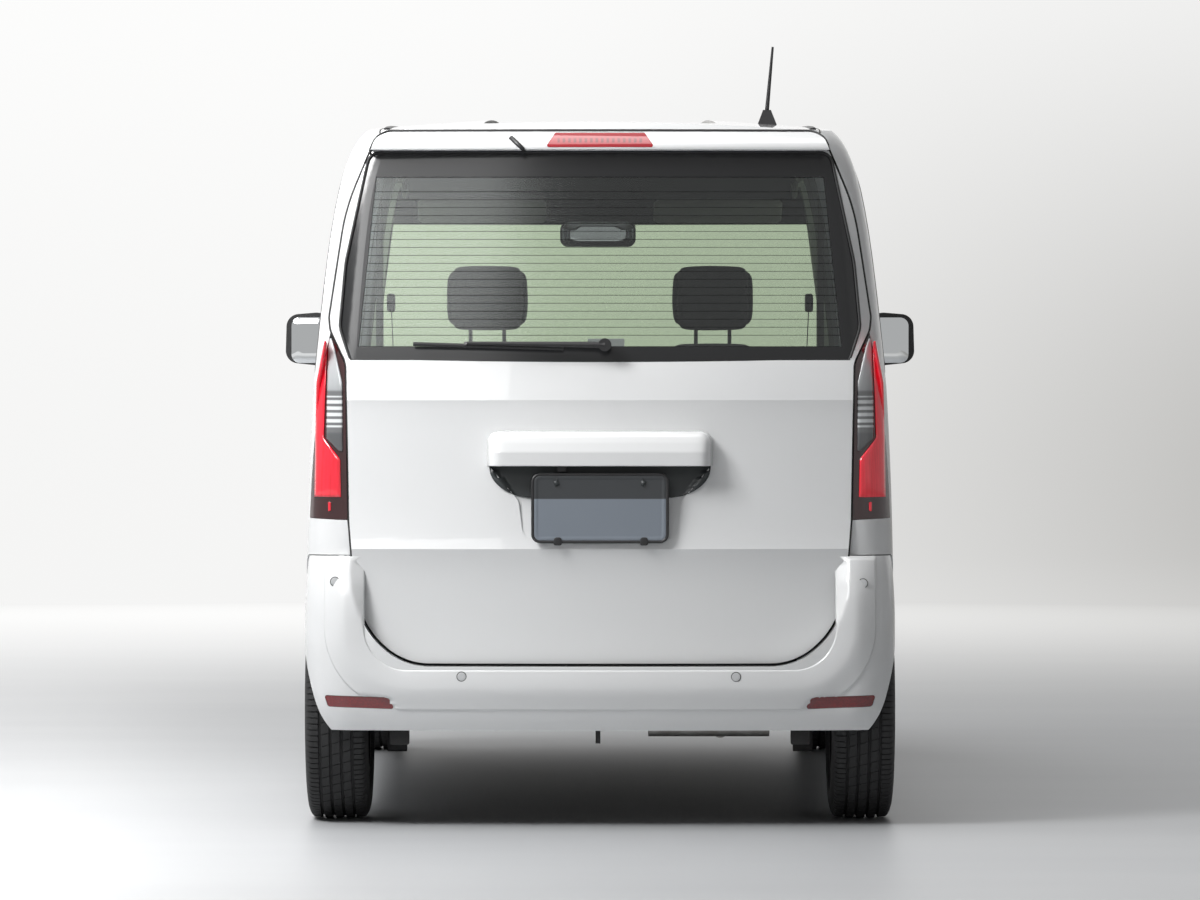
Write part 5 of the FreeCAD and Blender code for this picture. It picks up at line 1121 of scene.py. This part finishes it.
seat_steel = metal("seat_frame_steel", (0.02, 0.02, 0.021), (0.05, 0.05, 0.05), 0.5, 0.4)
seat_lean, seat_x = math.radians(80.5), 0.302
for side, sign in (("left", -1), ("right", 1)):
    x = sign * seat_x
    cushion("seat_cushion_" + side, (x, 0.070, 0.500), (0.485, 0.530, 0.150), 0.0,
            0.150, (-0.02, 0.12), "front_seats")
    cushion("seat_back_" + side, (x, -0.222, 0.865), (0.480, 0.690, 0.118), seat_lean,
            0.145, (-0.16, 0.0, 0.16), "front_seats")
    cushion("headrest_" + side, (x, -0.299, 1.312), (0.240, 0.196, 0.096), seat_lean,
            0.095, (), "front_seats", 0.008)
    piping("seat_cushion_piping_" + side, (x, 0.070, 0.512), (0.470, 0.512), 0.0)
    for n, shift in enumerate((-0.045, 0.045)):
        post_y, post_z = np.linspace(-0.288, -0.300, 7), np.linspace(1.19, 1.262, 7)
        post = np.column_stack([np.full(7, x + shift), post_y, post_z])
        name = "headrest_post_%s_%d" % (side, n)
        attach(bead(name, post, (1, 0, 0), 0.011, 0.011, cover_paint, closed=False, sides=10), "car")
    for name, centre, size, finish in (
            ("seat_base_", (x, 0.055, 0.405), (0.360, 0.420, 0.075), seat_steel),
            ("seat_rail_in_", (x - 0.15, 0.04, 0.350), (0.045, 0.50, 0.040), seat_steel),
            ("seat_rail_out_", (x + 0.15, 0.04, 0.350), (0.045, 0.50, 0.040), seat_steel),
            ("seat_side_shield_", (x + sign * 0.232, -0.03, 0.455), (0.022, 0.36, 0.11), trim_dark)):
        item = form(name + side, centre, size, finish, plan=0.12, edge=0.16, steps=(32, 13))
        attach(item, "car")
        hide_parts("front_seats")

bench_lean, bench_x = math.radians(81), 0.288
for side, sign in (("left", -1), ("right", 1)):
    x = sign * bench_x
    cushion("bench_cushion_" + side, (x, -0.590, 0.512), (0.560, 0.425, 0.130), 0.0,
            0.200, (0.0,), "rear_seat")
    cushion("bench_back_" + side, (x, -0.900, 0.872), (0.560, 0.640, 0.098), bench_lean,
            0.200, (-0.15, 0.0, 0.15), "rear_seat")
    cushion("bench_headrest_" + side, (x, -0.951, 1.150), (0.235, 0.105, 0.088), bench_lean,
            0.30, (), "rear_seat", 0.009)
    base = form("bench_base_" + side, (x, -0.600, 0.405), (0.50, 0.36, 0.150), trim_dark,
                plan=0.1, edge=0.14, steps=(32, 13))
    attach(base, "car")
    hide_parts("rear_seat")


# Cabin: screen, instrument hood, air vents and stalks on the dashboard, sun visors, belts, mats and
# the load floor's carpet. They are clipped or screwed to the body, and seen through the glass.
gloss_black = Finish("gloss_black_glass", roughness=0.08, coat_weight=1.0, coat_roughness=0.03)
smear = gloss_black.noise(30)
gloss_black.set(base_color=gloss_black.mix(smear, (0.006, 0.006, 0.007), (0.012, 0.012, 0.014)))
fabric_pale = woven("headlining_cloth", (0.30, 0.295, 0.28), (0.40, 0.395, 0.38), 0.0018)
carpet = woven("needled_carpet", (0.012, 0.012, 0.013), (0.04, 0.04, 0.042), 0.0035)
webbing = woven("belt_webbing", (0.014, 0.014, 0.015), (0.035, 0.035, 0.037), 0.0012)
dash_slope = math.radians(12)
for name, centre, size, finish, turn in (
        ("dash_screen", (0.0, 0.432, 0.925), (0.250, 0.022, 0.150), gloss_black, dash_slope),
        ("instrument_hood", (0.302, 0.595, 1.028), (0.330, 0.150, 0.075), trim_dark, 0.0),
        ("instrument_glass", (0.302, 0.522, 1.022), (0.270, 0.016, 0.046), gloss_black, dash_slope),
        ("climate_panel", (0.0, 0.434, 0.775), (0.215, 0.020, 0.085), gloss_black, dash_slope),
        ("glove_box_lid", (-0.330, 0.438, 0.715), (0.400, 0.014, 0.165), trim_dark, dash_slope),
        ("gear_selector", (0.105, 0.405, 0.800), (0.032, 0.075, 0.095), satin_black, dash_slope),
        ("cabin_lamp", (0.0, 0.150, 1.668), (0.110, 0.170, 0.020), clear_lens, 0.0),
        ("tunnel_tray", (0.0, 0.200, 0.372), (0.120, 0.420, 0.070), trim_dark, 0.0)):
    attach(form(name, centre, size, finish, turn, plan=0.16, edge=0.2, steps=(40, 13)), "car")

vane_low, vane_pitch = 0.860, 0.0225
for n, x in enumerate((-0.525, -0.175, 0.175, 0.545)):
    mouth = form("vent_mouth_%d" % n, (x, 0.4365, 0.895), (0.085, 0.018, 0.105), gloss_black, dash_slope,
                 plan=0.2, edge=0.2, steps=(32, 11))
    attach(mouth, "car")
    for k in range(4):
        place = (x, 0.4250, vane_low + k * vane_pitch)
        vane = form("vent_vane_%d_%d" % (n, k), place, (0.074, 0.010, 0.0035), satin_black, dash_slope,
                    plan=0.2, edge=0.4, steps=(16, 7))
        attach(vane, "car")

grip_drop = np.array([(1.0, 0.17), (0.93, 0.16), (0.90, 0.10), (0.90, 0.0), (0.93, -0.06), (1.0, -0.07)])
for side, sign in (("left", -1), ("right", 1)):
    reach = np.linspace(0, 1, 9)
    stalk_x = 0.302 + sign * np.linspace(0.035, 0.135, 9)
    stalk = np.column_stack([stalk_x, np.full(9, 0.476), 0.948 + 0.012 * reach])
    knob = np.linspace(0.010, 0.019, 9)
    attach(bead("column_stalk_" + side, stalk, (0, -1, 0), knob, 0.012, satin_black, closed=False), "car")
    visor = form("sun_visor_" + side, (sign * 0.330, 0.440, 1.560), (0.360, 0.150, 0.018), fabric_pale,
                 math.radians(-24), plan=0.2, edge=0.5, steps=(40, 11))
    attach(visor, "car")
    handle_x, handle_z = np.full(6, sign * 0.535), 1.630 - 0.35 * (1 - grip_drop[:, 0])
    handle = np.column_stack([handle_x, grip_drop[:, 1] + 0.05, handle_z])
    handle = bead("grab_handle_" + side, handle, (sign, 0, 0), 0.020, 0.012, fabric_pale, closed=False)
    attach(smooth(handle), "car")
    mat = form("floor_mat_" + side, (sign * 0.325, 0.455, 0.3365), (0.420, 0.400, 0.010), carpet,
               plan=0.12, edge=0.4, steps=(48, 9))
    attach(mat, "car")
    top, low = np.array([sign * 0.565, -0.150, 1.300]), np.array([sign * 0.560, -0.170, 0.480])
    share = np.linspace(0, 1, 24)[:, None]
    sag = np.array([-sign * 0.010, 0.012, 0.0]) * np.sin(share * math.pi)
    belt = top + (low - top) * share + sag
    belt = bead("belt_webbing_" + side, belt, (sign, 0, 0), 0.047, 0.0014, webbing, closed=False, power=0.5)
    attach(belt, "car")
    for name, centre, size, finish, plan, edge in (
            ("belt_guide_", top, (0.022, 0.068, 0.050), trim_dark, 0.3, 0.4),
            ("belt_buckle_", (sign * 0.052, -0.110, 0.600), (0.024, 0.036, 0.070), trim_dark, 0.3, 0.3),
            ("pillar_trim_", (sign * 0.597, -0.118, 1.360), (0.018, 0.098, 0.480), fabric_pale, 0.2, 0.12)):
        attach(form(name + side, centre, size, finish, plan=plan, edge=edge, steps=(28, 11)), "car")

boards = form("load_floor_carpet", (0.0, -1.215, 0.5035), (0.960, 0.560, 0.008), carpet,
              plan=0.06, edge=0.4, steps=(64, 9))
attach(boards, "car")


# Interior mirror: silvered glass in a dark shell on a ball joint at the windscreen. The glass is
# a flat plate with ground edges, let into the shell.
silvered = Finish("silvered_glass", metallic=1.0)
silvered.set(
    base_color=silvered.mix(silvered.noise(4), (0.72, 0.74, 0.75), (0.78, 0.80, 0.81)),
    roughness=silvered.level(silvered.noise(90, 3.0), 0.015, 0.05))
low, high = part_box("interior_mirror")
outline = rounded(box_corners(low[0] + 0.006, 1.470, high[0] - 0.006, 1.535, 0.024), 0.006)
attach(slab("interior_mirror_glass", outline, low[1] + 0.004, low[1] - 0.002, silvered, 0.001), "car")


# Front and outside fittings: headlamps and fog lamps with dark reflectors behind clear lenses, mirror
# glass, roof mouldings, rims of the side indicators, the fuel lid's gap and the rear washer nozzle.
def lamp_front(finish):
    """reflector tones behind a clear lens: two dark bowls with bright middles on pale steps"""
    x, z = finish.math("ABSOLUTE", finish.axis("X")), finish.axis("Z")
    tone = finish.mix(finish.noise(40), (0.10, 0.105, 0.11), (0.30, 0.31, 0.32))
    for middle_x, middle_z in ((0.545, 0.785), (0.640, 0.785)):
        dx = finish.math("SUBTRACT", x, middle_x)
        dz = finish.math("SUBTRACT", z, middle_z)
        squares = finish.math("ADD", finish.math("MULTIPLY", dx, dx), finish.math("MULTIPLY", dz, dz))
        away = finish.math("SQRT", squares)
        tone = finish.mix(finish.between(away, 0.0, 0.040, 0.003), tone, (0.02, 0.02, 0.022))
        tone = finish.mix(finish.between(away, -0.01, 0.024, 0.004), tone, (0.62, 0.64, 0.66))
    return tone


head_lens = Finish("headlamp_lens", roughness=0.08, coat_weight=1.0, coat_roughness=0.02)
head_lens.set(
    base_color=lamp_front(head_lens),
    normal=head_lens.bump(head_lens.cells(120, (1, 1, 0.2)), 0.0003, 0.3))
dress(head_lens, "headlamps")


def dish(name, centre, radius, finish):
    """Round cap that faces forwards: rings (angle, radius) of y = depth * (1 - r^2)."""
    depth, edge = 0.006, 0.002
    angle = np.linspace(0, 2 * math.pi, 40, endpoint=False)[:, None]
    share = np.array([1.0, 1.0, 0.94, 0.8, 0.6, 0.35, 0.0])
    rise = np.array([-0.02, 0.0, *(depth * (1 - share[2:] ** 2) + edge)])
    local = [radius * share * np.cos(angle), np.broadcast_to(rise, (40, 7)), radius * share * np.sin(angle)]
    item = weld(add_mesh(name, np.stack(local, axis=-1) + np.asarray(centre), finish, close_u=True))
    item.data.flip_normals()
    return item


bezel_radius, lamp_radius, roof_channel_x = 0.040, 0.036, 0.530
angle = np.linspace(0, 2 * math.pi, 48, endpoint=False)
for side, sign in (("left", -1), ("right", 1)):
    x, z = sign * 0.560, 0.470
    y = float(on_skin(["front_bumper"], np.array([x]), np.array([z]), "y", 1)[0])
    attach(dish("fog_lamp_" + side, (x, y + 0.001, z), lamp_radius, head_lens), "car")
    circle_x, circle_z = x + bezel_radius * np.cos(angle), z + bezel_radius * np.sin(angle)
    ring = np.column_stack([circle_x, np.full(48, y + 0.003), circle_z])
    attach(bead("fog_lamp_bezel_" + side, ring, (0, 1, 0), 0.009, 0.010, satin_black), "car")
    low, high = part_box("door_mirror_" + side)
    inner, outer = sorted((sign * 0.775, sign * 0.878))
    outline = rounded(box_corners(inner, 1.134, outer, 1.264, 0.024), 0.006)
    glass = slab("door_mirror_glass_" + side, outline, low[1] + 0.004, low[1] - 0.001, silvered, 0.001)
    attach(glass, "front_door_" + side)
    x, y = np.full(80, sign * roof_channel_x), np.linspace(-1.440, 0.440, 80)
    path = np.column_stack([x, y, on_skin(["roof_panel"], x, y, "z", 1) + 0.0012])
    name = "roof_moulding_" + side
    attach(bead(name, path, (0, 0, 1), 0.017, 0.006, satin_black, closed=False, power=0.8), "car")
    line = rounded(box_corners(1.030, 0.655, 1.082, 0.682, 0.012), 0.004)
    x = on_skin(["front_fenders"], line[:, 0], line[:, 1], "x", sign)
    path = np.stack([x + sign * 0.0004, line[:, 0], line[:, 1]], axis=-1)
    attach(bead("side_indicator_rim_" + side, path, (sign, 0, 0), 0.005, 0.004, satin_black), "car")
fuel_lid = box_corners(-1.245, 0.900, -1.085, 1.055, 0.022)
skin_bead("fuel_lid_gap", fuel_lid, "body_side_left", "car", "x", -1, 0.0035, 0.0022, 0.0006, 0.005)
x, z = np.linspace(-0.2197, -0.1876, 12), np.linspace(1.6985, 1.6680, 12)
path = np.column_stack([x, on_skin(["tailgate", "tailgate_glass"], x, z, "y", -1) - 0.003, z])
taper = np.linspace(0.013, 0.010, 12)
nozzle = bead("rear_washer_nozzle", path, (0, -1, 0), taper, 0.010, satin_black, closed=False)
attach(nozzle, "tailgate")


# Underside fittings: steel straps under the fuel tank, the stays behind the rear bumper, and the
# hexagon bolts that hold the front subframe to the body.
def bolt(name, centre, size):
    """hexagon head with a washer above it, facing down"""
    ring = np.array([[1.35, 0.0], [1.35, 0.18], [1.0, 0.18], [1.0, 0.75], [0.88, 0.85], [0.0, 0.85]]) * size
    x, y = ring[:, 0] * np.cos(hexagon)[:, None], ring[:, 0] * np.sin(hexagon)[:, None]
    local = np.stack([x, y, np.broadcast_to(ring[:, 1], (6, 6))], axis=-1) * np.array([1, -1, -1])
    item = add_mesh(name, local + np.asarray(centre), bare_bolt, close_u=True)
    return crease(weld(item), 25)


low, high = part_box("fuel_tank")
for n, y in enumerate((low[1] + 0.12, high[1] - 0.12)):
    x, y = np.linspace(low[0] + 0.01, high[0] - 0.01, 30), np.full(30, y)
    path = np.column_stack([x, y, on_skin(["fuel_tank"], x, y, "z", -1) - 0.001])
    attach(bead("tank_strap_%d" % n, path, (0, 0, 1), 0.028, 0.003, cast, closed=False, power=0.5), "car")
subframe_holes = ((0.315, 0.925), (0.26, 1.0375), (0.315, 1.505))
for n, (x, y) in enumerate((sign * x, y) for x, y in subframe_holes for sign in (-1, 1)):
    z = float(on_skin(["front_subframe"], np.array([x]), np.array([y]), "z", -1)[0])
    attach(bolt("subframe_bolt_%d" % n, (x, y, z + 0.001), 0.010), "car")
for n, x in enumerate((-0.494, 0.494)):
    stay = form("bumper_stay_%d" % n, (x, -1.585, 0.222), (0.048, 0.030, 0.040), sealed,
                plan=0.15, edge=0.2, steps=(28, 11))
    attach(stay, "car")
